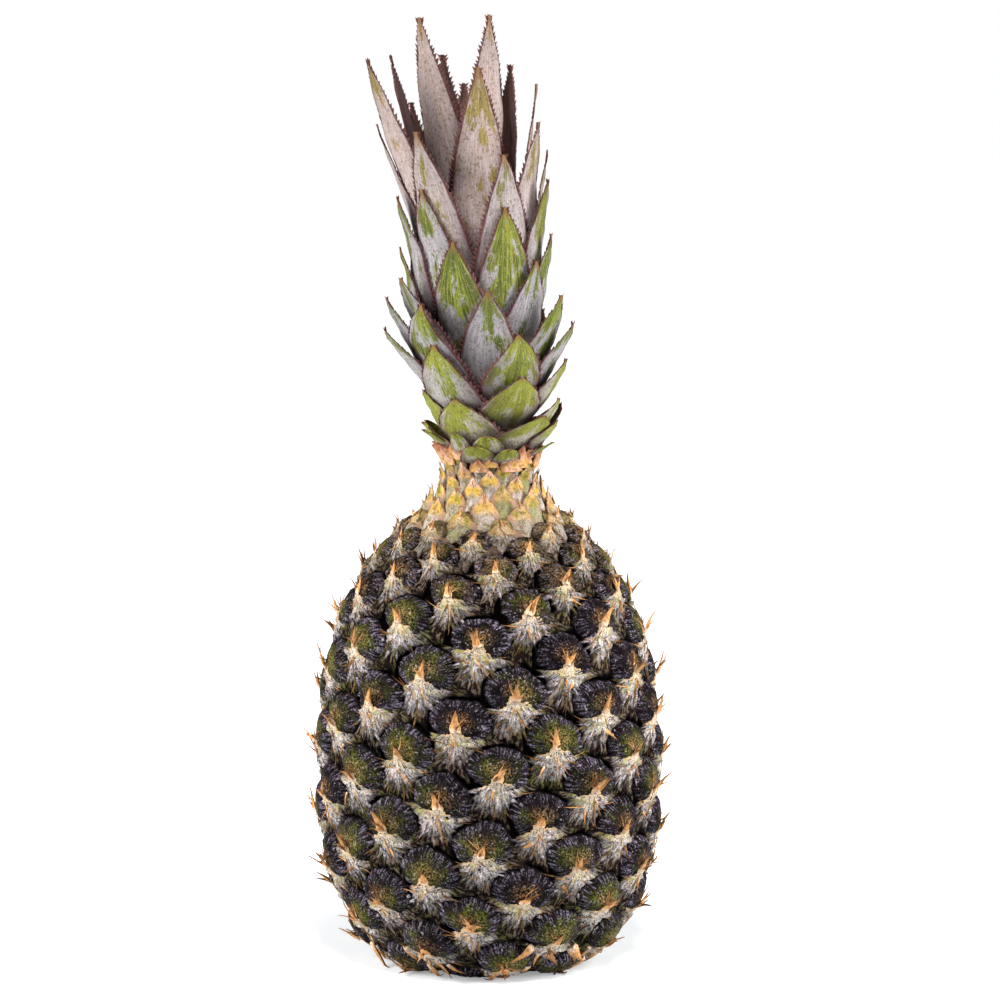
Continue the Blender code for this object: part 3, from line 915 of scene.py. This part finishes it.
# Painted shade: the scales darken towards the bottom of the neck.
SCALE_LOW_PAINTED_SHADE = srgb(112, 94, 74)
SCALE_BROWN = srgb(136, 92, 60)
# Partly the scales' own pinkish sides, partly painted shade that outlines each scale.
SCALE_SIDE_PINK_AND_SHADE = srgb(178, 138, 122)
# Painted shade: the brown along each scale's edge stands in for the dark gaps between the scales.
SCALE_GAP_PAINTED_SHADE = srgb(128, 84, 62)
# The dry tips and threads.
FLAKE_CREAM = srgb(226, 198, 172)
FLAKE_ORANGE = srgb(198, 146, 94)
FLAKE_FAWN = srgb(140, 104, 62)
FLAKE_BROWN = srgb(84, 56, 34)
FLAKE_END = srgb(112, 72, 42)
FLAKE_SPOTS = srgb(116, 78, 48)
# The frayed fibres.
FIBRE_POWDER = srgb(168, 160, 166)
FIBRE_OLIVE = srgb(92, 86, 58)
FIBRE_DARK = srgb(24, 16, 17)
FIBRE_TAN = srgb(134, 98, 62)
FIBRE_SPOTS = srgb(32, 22, 22)
# The withered leaf bases.
WITHERED_OCHRE = srgb(182, 142, 76)
WITHERED_PINK = srgb(206, 160, 136)
WITHERED_BROWN = srgb(156, 106, 82)
WITHERED_EDGE = srgb(128, 76, 56)
WITHERED_SPOTS = srgb(104, 70, 50)
# The skin between the eyes: painted shade, near black, on the fruit, and brown on the neck.
SKIN_GROOVE_SHADE_BLACK = srgb(3, 2, 2)
SKIN_GROOVE_SHADE_BROWN = srgb(12, 8, 7)
SKIN_NECK = srgb(80, 60, 46)
# The crown's leaves.
LEAF_BLOOM = srgb(145, 142, 149)
LEAF_LOW_BLOOM = srgb(170, 164, 140)
LEAF_HIGH_BLOOM = srgb(166, 144, 138)
LEAF_PALE_STRIPES = srgb(198, 193, 202)
LEAF_DARK_LINES = srgb(92, 80, 76)
LEAF_GREEN = srgb(56, 76, 14)
LEAF_LIME = srgb(126, 136, 38)
LEAF_STRAW = srgb(158, 142, 86)
LEAF_LOW_GREEN = srgb(158, 160, 62)
LEAF_TAN = srgb(118, 98, 56)
LEAF_FAWN = srgb(156, 132, 84)
LEAF_FOOT_SHADE = srgb(58, 42, 46)
LEAF_EDGE_SHADE = srgb(78, 58, 62)
LEAF_PALE_SPOTS = srgb(206, 198, 190)
LEAF_DARK_SPOTS = srgb(80, 64, 44)
LEAF_DRY_TIP = srgb(142, 100, 60)
LEAF_RIM = srgb(84, 42, 42)
# Painted shade: the leaves' inner faces, partly red-brown, are darkened near black to stand for
# the shade between the leaves.
LEAF_INNER_PAINTED_SHADE = srgb(34, 18, 21)
LEAF_INNER_RED = srgb(82, 50, 49)
# The cut stalk and the crown's stem.
STALK_BROWN = srgb(150, 116, 74)
STALK_PALE = srgb(196, 164, 112)
STALK_PITS = srgb(92, 62, 36)
STEM_GREEN = srgb(150, 150, 84)
STEM_PALE = srgb(206, 200, 150)


class Graph:
    """A node tree in the making: short calls that add nodes and return their outputs."""

    def __init__(self, tree):
        self.nodes = tree.nodes
        self.links = tree.links

    def put(self, socket, value):
        """Links an output to a socket, or sets the value that the socket itself holds."""
        if isinstance(value, bpy.types.NodeSocket):
            self.links.new(value, socket)
        elif value is not None:
            socket.default_value = value

    def place(self):
        """The point's place in the object's own space."""
        return self.nodes.new("ShaderNodeTexCoord").outputs["Object"]

    def split(self, vector):
        """One vector as its three values."""
        node = self.nodes.new("ShaderNodeSeparateXYZ")
        self.links.new(vector, node.inputs[0])
        return tuple(node.outputs)

    def attribute(self, name):
        """The three values that the mesh carries under a name."""
        node = self.nodes.new("ShaderNodeAttribute")
        node.attribute_name = name
        return self.split(node.outputs["Vector"])

    def math(self, operation, a, b=None):
        node = self.nodes.new("ShaderNodeMath")
        node.operation = operation
        self.put(node.inputs[0], a)
        self.put(node.inputs[1], b)
        return node.outputs[0]

    def add(self, a, b):
        return self.math("ADD", a, b)

    def times(self, a, b):
        return self.math("MULTIPLY", a, b)

    def length(self, x, y):
        return self.math("SQRT", self.add(self.times(x, x), self.times(y, y)))

    def ramp(self, value, low, high, start=0.0, end=1.0):
        """start below low, end above high, and a smooth change between."""
        node = self.nodes.new("ShaderNodeMapRange")
        node.interpolation_type = "SMOOTHSTEP"
        for label, number in (("Value", value), ("From Min", low), ("From Max", high)):
            self.put(node.inputs[label], number)
        self.put(node.inputs["To Min"], start)
        self.put(node.inputs["To Max"], end)
        return node.outputs[0]

    def vector(self, x, y, z):
        """Three values as one vector."""
        node = self.nodes.new("ShaderNodeCombineXYZ")
        for socket, value in zip(node.inputs, (x, y, z)):
            self.put(socket, value)
        return node.outputs[0]

    def noise(self, vector, scale, detail=3.0, rough=0.55):
        """Cloudy noise about 0.5, with scale clouds to the metre of the vector."""
        node = self.nodes.new("ShaderNodeTexNoise")
        self.put(node.inputs["Vector"], vector)
        self.put(node.inputs["Scale"], scale)
        self.put(node.inputs["Detail"], detail)
        self.put(node.inputs["Roughness"], rough)
        return node.outputs[0]


class Effect(Graph):
    """A node group that several materials share."""

    def __init__(self, name, inputs, outputs):
        self.tree = bpy.data.node_groups.new(name, "ShaderNodeTree")
        super().__init__(self.tree)
        for labels, side in ((inputs, "INPUT"), (outputs, "OUTPUT")):
            for label in labels:
                self.tree.interface.new_socket(
                    name=label, in_out=side, socket_type="NodeSocketFloat"
                )
        self.given = self.nodes.new("NodeGroupInput").outputs
        self.result = self.nodes.new("NodeGroupOutput").inputs


def fibres_effect():
    """Noise drawn out along the rays from an eye's middle, different on every eye."""
    e = Effect("eye_fibres", ("X", "Y", "Luck", "Around", "Along"), ("Fibres",))
    x, y = e.given["X"], e.given["Y"]
    far = e.math("MAXIMUM", e.length(x, y), 0.001)
    run = e.times(e.math("DIVIDE", x, far), e.given["Around"])
    rise = e.times(e.math("DIVIDE", y, far), e.given["Around"])
    at = e.vector(e.add(run, e.times(e.given["Luck"], 57)), rise, e.times(far, e.given["Along"]))
    e.put(e.result["Fibres"], e.noise(at, 1.0, 3.0, 0.6))
    return e.tree


def spots_effect():
    """Fine grain in the object's own space, and the spots where it passes Low."""
    e = Effect("fine_spots", ("Scale", "Detail", "Low", "High"), ("Grain", "Spots"))
    grain = e.noise(e.place(), e.given["Scale"], e.given["Detail"], 0.6)
    e.put(e.result["Grain"], grain)
    e.put(e.result["Spots"], e.ramp(grain, e.given["Low"], e.given["High"]))
    return e.tree


class Finish(Graph):
    """A material in the making."""

    effects = {"fibres": fibres_effect(), "spots": spots_effect()}

    def __init__(self, name, roughness=0.5, specular=0.5):
        self.material = bpy.data.materials.new(name)
        self.material.use_nodes = True
        super().__init__(self.material.node_tree)
        self.shader = self.nodes["Principled BSDF"]
        self.shader.inputs["Roughness"].default_value = roughness
        self.shader.inputs["Specular IOR Level"].default_value = specular

    def effect(self, name, values):
        """Places a shared effect with this material's values, and returns its outputs."""
        node = self.nodes.new("ShaderNodeGroup")
        node.node_tree = self.effects[name]
        for label, value in values.items():
            self.put(node.inputs[label], value)
        return node.outputs

    def fibres(self, x, y, luck, around, along):
        """Fibres that run out from the point where x and y are 0."""
        values = {"X": x, "Y": y, "Luck": luck, "Around": around, "Along": along}
        return self.effect("fibres", values)["Fibres"]

    def spots(self, scale, low, high, detail=3.0):
        """The mask of fine spots, and the grain that they come from."""
        made = self.effect("spots", {"Scale": scale, "Detail": detail, "Low": low, "High": high})
        return made["Spots"], made["Grain"]

    def mix(self, share, a, b):
        """Colour a where the share is 0, colour b where it is 1."""
        node = self.nodes.new("ShaderNodeMixRGB")
        for socket, value in zip(node.inputs, (share, a, b)):
            self.put(socket, value)
        return node.outputs[0]

    def bumped(self, height, strength, distance):
        """Gives the surface fine relief of a height that changes over it."""
        node = self.nodes.new("ShaderNodeBump")
        node.inputs["Strength"].default_value = strength
        node.inputs["Distance"].default_value = distance
        self.put(node.inputs["Height"], height)
        self.links.new(node.outputs[0], self.shader.inputs["Normal"])

    def colour(self, value):
        self.put(self.shader.inputs["Base Color"], value)


def fan_finish():
    """Dark, ridged, mealy sepals: olive round the tip, short pale streaks near the rim, and
    painted shade, near black, along the rim.
    """
    f = Finish("eye_fan", roughness=0.45, specular=0.035)
    x, y, share = f.attribute("eye")
    a, b, c = f.attribute("luck")
    neck, _, height = f.attribute("zone")
    place = f.place()
    mealy, meal = f.spots(1500, 0.36, 0.60, 4)
    patch = f.noise(place, 330, 3)
    broad = f.noise(place, 70, 2)
    ray = f.fibres(f.add(x, -0.02), f.add(y, -0.02), a, around=15.0, along=4.5)
    streak = f.ramp(ray, 0.48, 0.60)
    starts = f.add(share, f.times(f.add(patch, -0.5), 0.7))
    outer = f.times(f.ramp(starts, 0.50, 0.82), f.ramp(share, 0.95, 0.87))
    colour = f.mix(f.ramp(patch, 0.35, 0.65), FAN_BLACK, FAN_DUSK)
    olive = f.ramp(f.add(share, f.times(f.add(patch, -0.5), 1.4)), 0.90, 0.15)
    olive = f.times(olive, f.ramp(f.add(broad, f.times(b, 0.5)), 0.60, 0.90))
    colour = f.mix(f.times(olive, mealy), colour, FAN_OLIVE)
    near = f.times(f.ramp(share, 0.55, 0.10), f.ramp(meal, 0.45, 0.60))
    colour = f.mix(f.times(near, 0.75), colour, FAN_TAN)
    shoulder = f.times(f.ramp(height, 0.128, 0.150), f.times(f.ramp(patch, 0.40, 0.60), mealy))
    colour = f.mix(f.times(shoulder, 0.75), colour, FAN_SHOULDER)
    strength = f.ramp(f.add(broad, f.times(c, 0.3)), 0.40, 0.75, 0.30, 0.85)
    pale = f.times(f.times(streak, outer), f.ramp(meal, 0.38, 0.58))
    colour = f.mix(f.times(pale, strength), colour, FAN_LILAC)
    specks = f.times(f.ramp(meal, 0.575, 0.68), f.ramp(f.noise(place, 500, 2), 0.42, 0.60))
    colour = f.mix(f.times(specks, 0.75), colour, FAN_SPECKS)
    # Painted shade: the fan's rim is blackened where it dips into the groove under the bracts.
    colour = f.mix(f.ramp(share, 0.86, 0.95), colour, FAN_RIM_PAINTED_SHADE)
    on_neck = f.mix(f.ramp(patch, 0.4, 0.6), FAN_NECK_DARK, FAN_NECK_PALE)
    colour = f.mix(f.ramp(neck, 0.15, 0.60), colour, on_neck)
    f.colour(colour)
    f.bumped(f.add(f.times(f.times(ray, outer), 1.8), f.times(meal, 0.8)), 1.0, 0.0009)
    return f.material


def skirt_finish():
    """A powdery bract: green and cream ribs at its nose, bloom round its hub, dark ends, and
    painted shade along its rim where it meets the fans.
    """
    f = Finish("eye_bract", roughness=0.8, specular=0.02)
    x, y, share = f.attribute("eye")
    a, b, _ = f.attribute("luck")
    neck, reach, height = f.attribute("zone")
    powder = f.spots(1700, 0.46, 0.62, 5)[1]
    patch = f.noise(f.place(), 300, 3)
    below_tip = f.add(y, -0.06)
    ray = f.fibres(x, below_tip, a, around=8.0, along=5.0)
    thin = f.fibres(x, below_tip, b, around=17.0, along=8.0)
    rib = f.ramp(ray, 0.44, 0.60)
    from_tip = f.length(x, y)
    sideways = f.times(f.math("ABSOLUTE", x), -0.25)
    uneven = f.add(f.add(reach, sideways), f.times(f.add(patch, -0.5), 0.30))
    colour = bract_ground(f, thin, patch, share, reach, b)
    grain = f.add(f.times(powder, 0.6), f.times(ray, 0.4))
    bloom = f.times(f.ramp(uneven, 0.40, 0.06), f.ramp(grain, 0.38, 0.56))
    bloom = f.times(bloom, f.ramp(height, 0.124, 0.146, 1.0, 0.55))
    bloom = f.times(bloom, f.ramp(thin, 0.38, 0.52, 0.30, 1.0))
    colour = f.mix(bloom, colour, BRACT_BLOOM)
    green = f.ramp(f.add(from_tip, f.times(b, 0.15)), 0.60, 0.24)
    green = f.times(green, f.times(rib, f.ramp(patch, 0.34, 0.52)))
    colour = f.mix(f.times(green, 0.85), colour, BRACT_GREEN)
    cream = f.times(f.ramp(from_tip, 0.26, 0.10), f.ramp(grain, 0.42, 0.55))
    colour = f.mix(f.times(cream, 0.85), colour, BRACT_CREAM)
    tan = f.times(f.spots(420, 0.57, 0.66, 2)[0], f.ramp(reach, 0.5, 0.2))
    colour = f.mix(f.times(tan, 0.45), colour, BRACT_TAN)
    rim = f.ramp(share, 0.80, 0.95)
    colour = f.mix(f.times(f.times(rim, f.ramp(reach, 0.30, 0.24)), 0.8), colour, BRACT_NOSE)
    # Painted shade: away from its nose, the bract's rim goes near black where it meets the fans.
    colour = f.mix(f.times(rim, f.ramp(reach, 0.26, 0.34)), colour, BRACT_RIM_PAINTED_SHADE)
    colour = f.mix(neck, colour, neck_colour(f, x, y, share, patch, powder, a, b, height))
    f.colour(colour)
    f.bumped(f.add(f.times(ray, 1.8), f.times(powder, 0.7)), 1.0, 0.0008)
    return f.material


def bract_ground(f, thin, patch, share, reach, luck):
    """A bract under its powder: dark, with fawn and olive fibres that fade to its ends."""
    dark = f.mix(f.ramp(patch, 0.35, 0.65), BRACT_BLACK, BRACT_BROWN)
    greener = f.ramp(f.add(patch, f.times(luck, 0.4)), 0.62, 0.80)
    olive = f.mix(greener, BRACT_FAWN, BRACT_OLIVE)
    fibre = f.times(f.ramp(thin, 0.47, 0.60), f.ramp(share, 0.98, 0.82))
    return f.mix(f.times(fibre, f.ramp(reach, 0.72, 0.35, 0.35, 0.85)), dark, olive)


def neck_colour(f, x, y, share, patch, powder, a, b, height):
    """A neck scale: grey-green and powdery below, yellow at its middle, pink at its tip, with
    painted shade low on the neck, at its sides and along its edge.
    """
    low = f.mix(f.ramp(patch, 0.4, 0.6), SCALE_GREY_GREEN, SCALE_GREY_PINK)
    place = f.add(y, f.times(f.add(patch, -0.5), 0.5))
    yellow = f.mix(f.ramp(a, 0.3, 0.8), SCALE_YELLOW, SCALE_HONEY)
    colour = f.mix(f.ramp(place, -0.34, 0.00), low, yellow)
    colour = f.mix(f.ramp(place, 0.14, 0.34), colour, SCALE_PINK)
    colour = f.mix(f.times(f.ramp(powder, 0.46, 0.62), 0.40), colour, SCALE_BLOOM)
    green = f.times(f.ramp(f.add(patch, f.times(b, 0.3)), 0.66, 0.82), 0.7)
    colour = f.mix(green, colour, SCALE_GREEN)
    # Painted shade: darker towards the bottom of the neck.
    colour = f.mix(f.ramp(height, 0.166, 0.150, 0.0, 0.45), colour, SCALE_LOW_PAINTED_SHADE)
    brown = f.times(f.spots(900, 0.56, 0.64)[0], 0.7)
    colour = f.mix(brown, colour, SCALE_BROWN)
    # The sides of a scale: pinkish, and darker as painted shade that outlines it.
    side = f.times(f.ramp(f.math("ABSOLUTE", x), 0.26, 0.48), 0.7)
    colour = f.mix(side, colour, SCALE_SIDE_PINK_AND_SHADE)
    # Painted shade: the scale's edge goes brown, for the dark gap between scales.
    return f.mix(f.times(f.ramp(share, 0.92, 1.0), 0.8), colour, SCALE_GAP_PAINTED_SHADE)


def flake_finish():
    """Dry bract tips and threads: cream and pink at the root, orange, brown at the end."""
    f = Finish("dry_flake", roughness=0.75, specular=0.06)
    along, _, tone = f.attribute("flake")
    spots, grain = f.spots(1100, 0.46, 0.60)
    light = f.mix(f.ramp(along, 0.0, 0.30), FLAKE_CREAM, FLAKE_ORANGE)
    dark = f.mix(f.ramp(along, 0.0, 0.5), FLAKE_FAWN, FLAKE_BROWN)
    colour = f.mix(f.ramp(tone, 0.2, 0.7), dark, light)
    colour = f.mix(f.ramp(along, 0.55, 1.0, 0.0, 0.8), colour, FLAKE_END)
    colour = f.mix(f.times(spots, 0.6), colour, FLAKE_SPOTS)
    f.colour(colour)
    f.bumped(grain, 0.6, 0.0004)
    return f.material


def fringe_finish():
    """Frayed fibres: powdery or olive at the root, dark or tan at the end."""
    f = Finish("bract_fringe", roughness=0.8, specular=0.02)
    along, _, tone = f.attribute("flake")
    spots, grain = f.spots(1500, 0.42, 0.58, 4)
    root = f.mix(f.ramp(tone, 0.35, 0.65), FIBRE_POWDER, FIBRE_OLIVE)
    end = f.mix(f.ramp(tone, 0.60, 0.95), FIBRE_DARK, FIBRE_TAN)
    colour = f.mix(f.ramp(along, 0.15, 0.70), root, end)
    colour = f.mix(f.times(spots, 0.75), colour, FIBRE_SPOTS)
    f.colour(colour)
    f.bumped(grain, 0.8, 0.0005)
    return f.material


def withered_finish():
    """Withered leaf bases: pinkish brown, blotched."""
    f = Finish("withered_leaf", roughness=0.8, specular=0.1)
    along, side, _ = f.attribute("flake")
    spots, grain = f.spots(900, 0.48, 0.62, 4)
    patch = f.noise(f.place(), 260, 3)
    colour = f.mix(f.ramp(patch, 0.38, 0.62), WITHERED_OCHRE, WITHERED_PINK)
    colour = f.mix(f.ramp(along, 0.10, 0.45), colour, WITHERED_BROWN)
    edge = f.ramp(f.math("ABSOLUTE", side), 0.60, 0.95)
    colour = f.mix(f.times(edge, 0.7), colour, WITHERED_EDGE)
    f.colour(f.mix(f.times(spots, 0.6), colour, WITHERED_SPOTS))
    f.bumped(grain, 0.8, 0.0006)
    return f.material


def skin_finish():
    """The skin between the eyes: painted shade, nearly black, on the fruit, and brown on the neck.
    """
    f = Finish("fruit_skin", roughness=0.9, specular=0.0)
    place = f.place()
    patch = f.noise(place, 300, 4)
    on_neck = f.ramp(f.split(place)[2], NECK_STARTS, NECK_FULL)
    # Painted shade: near black where the skin shows in the grooves between the eyes.
    colour = f.mix(patch, SKIN_GROOVE_SHADE_BLACK, SKIN_GROOVE_SHADE_BROWN)
    f.colour(f.mix(on_neck, colour, SKIN_NECK))
    f.bumped(patch, 0.6, 0.0006)
    return f.material


def leaf_finish():
    """A stiff leaf: grey-white bloom over green, red-brown edges, dry tip, and an inner face that
    is partly red-brown and darkened as painted shade.
    """
    f = Finish("crown_leaf", roughness=0.5, specular=0.15)
    along, side, inner = f.attribute("leaf")
    a, b, c = f.attribute("luck")
    tip, length, _ = f.attribute("size")
    edge = f.math("ABSOLUTE", side)
    metres = f.times(along, length)
    stripe = f.noise(f.vector(f.times(side, 14), f.times(metres, 60), f.times(a, 40)), 1.0, 3)
    fine = f.noise(f.vector(f.times(side, 48), f.times(metres, 240), f.times(b, 40)), 1.0, 4, 0.65)
    patch = f.noise(f.vector(f.times(side, 1.8), f.times(metres, 85), f.times(c, 60)), 1.0, 4, 0.6)
    high = f.ramp(tip, 0.265, 0.315)
    low = f.ramp(tip, 0.240, 0.205)
    bloom = leaf_bloom(f, high, low, stripe, fine)
    ground = leaf_ground(f, high, low, stripe, fine, patch)
    more = f.add(f.times(high, 0.15), f.times(low, -0.12))
    cover = leaf_cover(f, patch, fine, more, edge, along, c)
    colour = f.mix(f.times(cover, 0.93), ground, bloom)
    colour = f.mix(f.ramp(along, 0.42, 0.08, 0.0, 0.75), colour, LEAF_FOOT_SHADE)
    shade = f.times(f.ramp(edge, 0.35, 0.95), f.ramp(along, 0.85, 0.40))
    colour = f.mix(f.times(shade, 0.65), colour, LEAF_EDGE_SHADE)
    colour = f.mix(f.times(f.spots(1300, 0.40, 0.30, 4)[0], 0.55), colour, LEAF_PALE_SPOTS)
    colour = f.mix(f.times(f.spots(1000, 0.53, 0.63, 4)[0], 0.55), colour, LEAF_DARK_SPOTS)
    colour = f.mix(f.times(f.ramp(along, 0.90, 1.0), 0.85), colour, LEAF_DRY_TIP)
    rim = f.ramp(f.add(edge, f.times(f.add(fine, -0.5), 0.10)), 0.89, 0.97)
    colour = f.mix(f.times(rim, 0.9), colour, LEAF_RIM)
    # Painted shade: the inner face is darkened near black, over its red-brown streaks.
    inside = f.mix(f.ramp(stripe, 0.3, 0.7), LEAF_INNER_PAINTED_SHADE, LEAF_INNER_RED)
    f.colour(f.mix(f.times(inner, 0.93), colour, inside))
    f.bumped(f.add(f.times(stripe, 0.8), f.times(fine, 0.7)), 1.0, 0.0006)
    return f.material


def leaf_bloom(f, high, low, stripe, fine):
    """The bloom's own colour: greyer at mid height, warmer low and high, with fine lines."""
    bloom = f.mix(high, f.mix(low, LEAF_BLOOM, LEAF_LOW_BLOOM), LEAF_HIGH_BLOOM)
    bloom = f.mix(f.times(f.ramp(stripe, 0.60, 0.42), 0.35), bloom, LEAF_PALE_STRIPES)
    return f.mix(f.times(f.ramp(fine, 0.46, 0.62), 0.45), bloom, LEAF_DARK_LINES)


def leaf_ground(f, high, low, stripe, fine, patch):
    """The leaf under its bloom: striped green, yellower low down, and tan near the top."""
    lighter = f.ramp(f.add(stripe, f.times(f.add(patch, -0.5), 0.8)), 0.35, 0.65)
    green = f.mix(lighter, LEAF_GREEN, LEAF_LIME)
    green = f.mix(f.times(f.ramp(fine, 0.48, 0.64), 0.5), green, LEAF_STRAW)
    green = f.mix(f.times(low, 0.5), green, LEAF_LOW_GREEN)
    tan = f.mix(f.ramp(stripe, 0.3, 0.7), LEAF_TAN, LEAF_FAWN)
    return f.mix(f.times(high, 0.75), green, tan)


def leaf_cover(f, patch, fine, more, edge, along, luck):
    """Where the bloom lies on a leaf: everywhere at its foot, and least near its tip."""
    cover = f.add(f.times(patch, 1.5), f.add(f.times(fine, 0.45), more))
    cover = f.add(cover, f.times(f.times(edge, edge), 0.15))
    cover = f.add(cover, f.ramp(along, 0.60, 0.15, 0.0, 0.25))
    cover = f.add(cover, f.ramp(along, 0.62, 0.92, 0.0, -0.20))
    return f.ramp(f.add(cover, f.times(luck, -0.26)), 0.77, 0.88)


def stalk_finish():
    """The stalk's cut end: dry, fibrous and pale brown."""
    f = Finish("cut_stalk", roughness=0.85)
    spots, fibre = f.spots(1400, 0.55, 0.68, 2)
    patch = f.noise(f.place(), 240, 3)
    colour = f.mix(patch, STALK_BROWN, STALK_PALE)
    f.colour(f.mix(f.times(spots, 0.7), colour, STALK_PITS))
    f.bumped(fibre, 0.8, 0.0006)
    return f.material


def stem_finish():
    """The crown's stem, which shows only between the leaves: pale green, blotched."""
    f = Finish("crown_stem", roughness=0.7)
    patch = f.noise(f.place(), 300, 3)
    f.colour(f.mix(patch, STEM_GREEN, STEM_PALE))
    f.bumped(patch, 0.5, 0.0004)
    return f.material


# ---------------------------------------------------------------- stage

CAMERA_AIM = Vector((0.0040, 0.0, 0.1655))
CAMERA_DISTANCE = 1.19
CAMERA_RISE = math.radians(8.0)
CAMERA_LENS = 120.0
ROOM_LIGHT = 0.055
LAMP_AIM = Vector((0.0, 0.0, 0.15))
LAMP_TINT = (1.0, 0.975, 0.945)
FLOOR_GLOW = 0.30
GLOW_STARTS = 0.055
GLOW_FULL = 0.17
FLOOR_SIZE = 8
FLOOR_COLOUR = (0.74, 0.79, 0.84, 1.0)
WHITE = (1.0, 1.0, 1.0, 1.0)

# The lamps: name, place, (width, height) and power in watts.
LAMPS = [
    ("left_panel", (-0.80, -0.18, 0.42), (0.40, 0.80), 14.8),
    ("right_panel", (0.80, -0.18, 0.42), (0.40, 0.80), 14.6),
    ("front_top", (0.10, -0.75, 1.10), (0.22, 0.22), 13.0),
]


def area_light(name, place, size, power):
    """A soft lamp that points at the fruit."""
    lamp = bpy.data.lights.new(name, "AREA")
    lamp.shape = "RECTANGLE"
    lamp.size, lamp.size_y = size
    lamp.energy = power
    lamp.color = LAMP_TINT
    holder = bpy.data.objects.new(name, lamp)
    bpy.context.scene.collection.objects.link(holder)
    holder.location = place
    holder.rotation_euler = (LAMP_AIM - Vector(place)).to_track_quat("-Z", "Y").to_euler()


def make_floor():
    """A pale floor that the camera sees fade to white away from the fruit's shadow."""
    bpy.ops.mesh.primitive_plane_add(size=FLOOR_SIZE)
    floor = bpy.context.object
    floor.name = "floor"
    pale = Finish("pale_floor", roughness=0.9, specular=0.1)
    pale.colour(FLOOR_COLOUR)
    pale.shader.inputs["Emission Color"].default_value = WHITE
    seen = pale.nodes.new("ShaderNodeLightPath").outputs["Is Camera Ray"]
    x, y, _ = pale.split(pale.place())
    glow = pale.ramp(pale.length(x, y), GLOW_STARTS, GLOW_FULL, FLOOR_GLOW, 1.0)
    pale.put(pale.shader.inputs["Emission Strength"], pale.times(seen, glow))
    floor.data.materials.append(pale.material)


def make_room():
    """A white surround that lights the fruit only a little."""
    world = bpy.data.worlds.new("white_room")
    world.use_nodes = True
    room = Graph(world.node_tree)
    sky = room.nodes["Background"].inputs
    seen = room.nodes.new("ShaderNodeLightPath").outputs["Is Camera Ray"]
    room.put(sky["Color"], WHITE)
    room.put(sky["Strength"], room.ramp(seen, 0.0, 1.0, ROOM_LIGHT, 1.0))
    bpy.context.scene.world = world


def make_camera():
    """A long lens a little above the fruit's middle, looking slightly down."""
    camera = bpy.data.objects.new("camera", bpy.data.cameras.new("camera"))
    bpy.context.scene.collection.objects.link(camera)
    camera.data.lens = CAMERA_LENS
    camera.data.clip_start = 0.01
    back = Vector((0, -math.cos(CAMERA_RISE), math.sin(CAMERA_RISE))) * CAMERA_DISTANCE
    camera.location = CAMERA_AIM + back
    camera.rotation_euler = (-back).to_track_quat("-Z", "Y").to_euler()
    bpy.context.scene.camera = camera


# ---------------------------------------------------------------- the whole scene

def refinish(node, finish):
    """Gives a piece of the frame that stays in sight its own material."""
    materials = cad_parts[node].data.materials
    materials.clear()
    materials.append(finish)


def main():
    """Builds the fruit, its crown, and the stage that they stand on."""
    meridian = Meridian()
    eyes = Eyes(meridian)
    make_ground(meridian, skin_finish())
    make_fans(eyes, fan_finish())
    make_bracts(eyes, skirt_finish())
    dry = flake_finish()
    make_dry_parts(eyes, dry)
    make_fringe(eyes, fringe_finish())
    make_base_bracts(eyes, dry)
    make_crown(leaf_finish())
    refinish("cut_stalk", stalk_finish())
    refinish("crown_stem", stem_finish())
    make_floor()
    make_room()
    for lamp in LAMPS:
        area_light(*lamp)
    bpy.context.scene.view_settings.view_transform = "Standard"
    make_camera()


main()
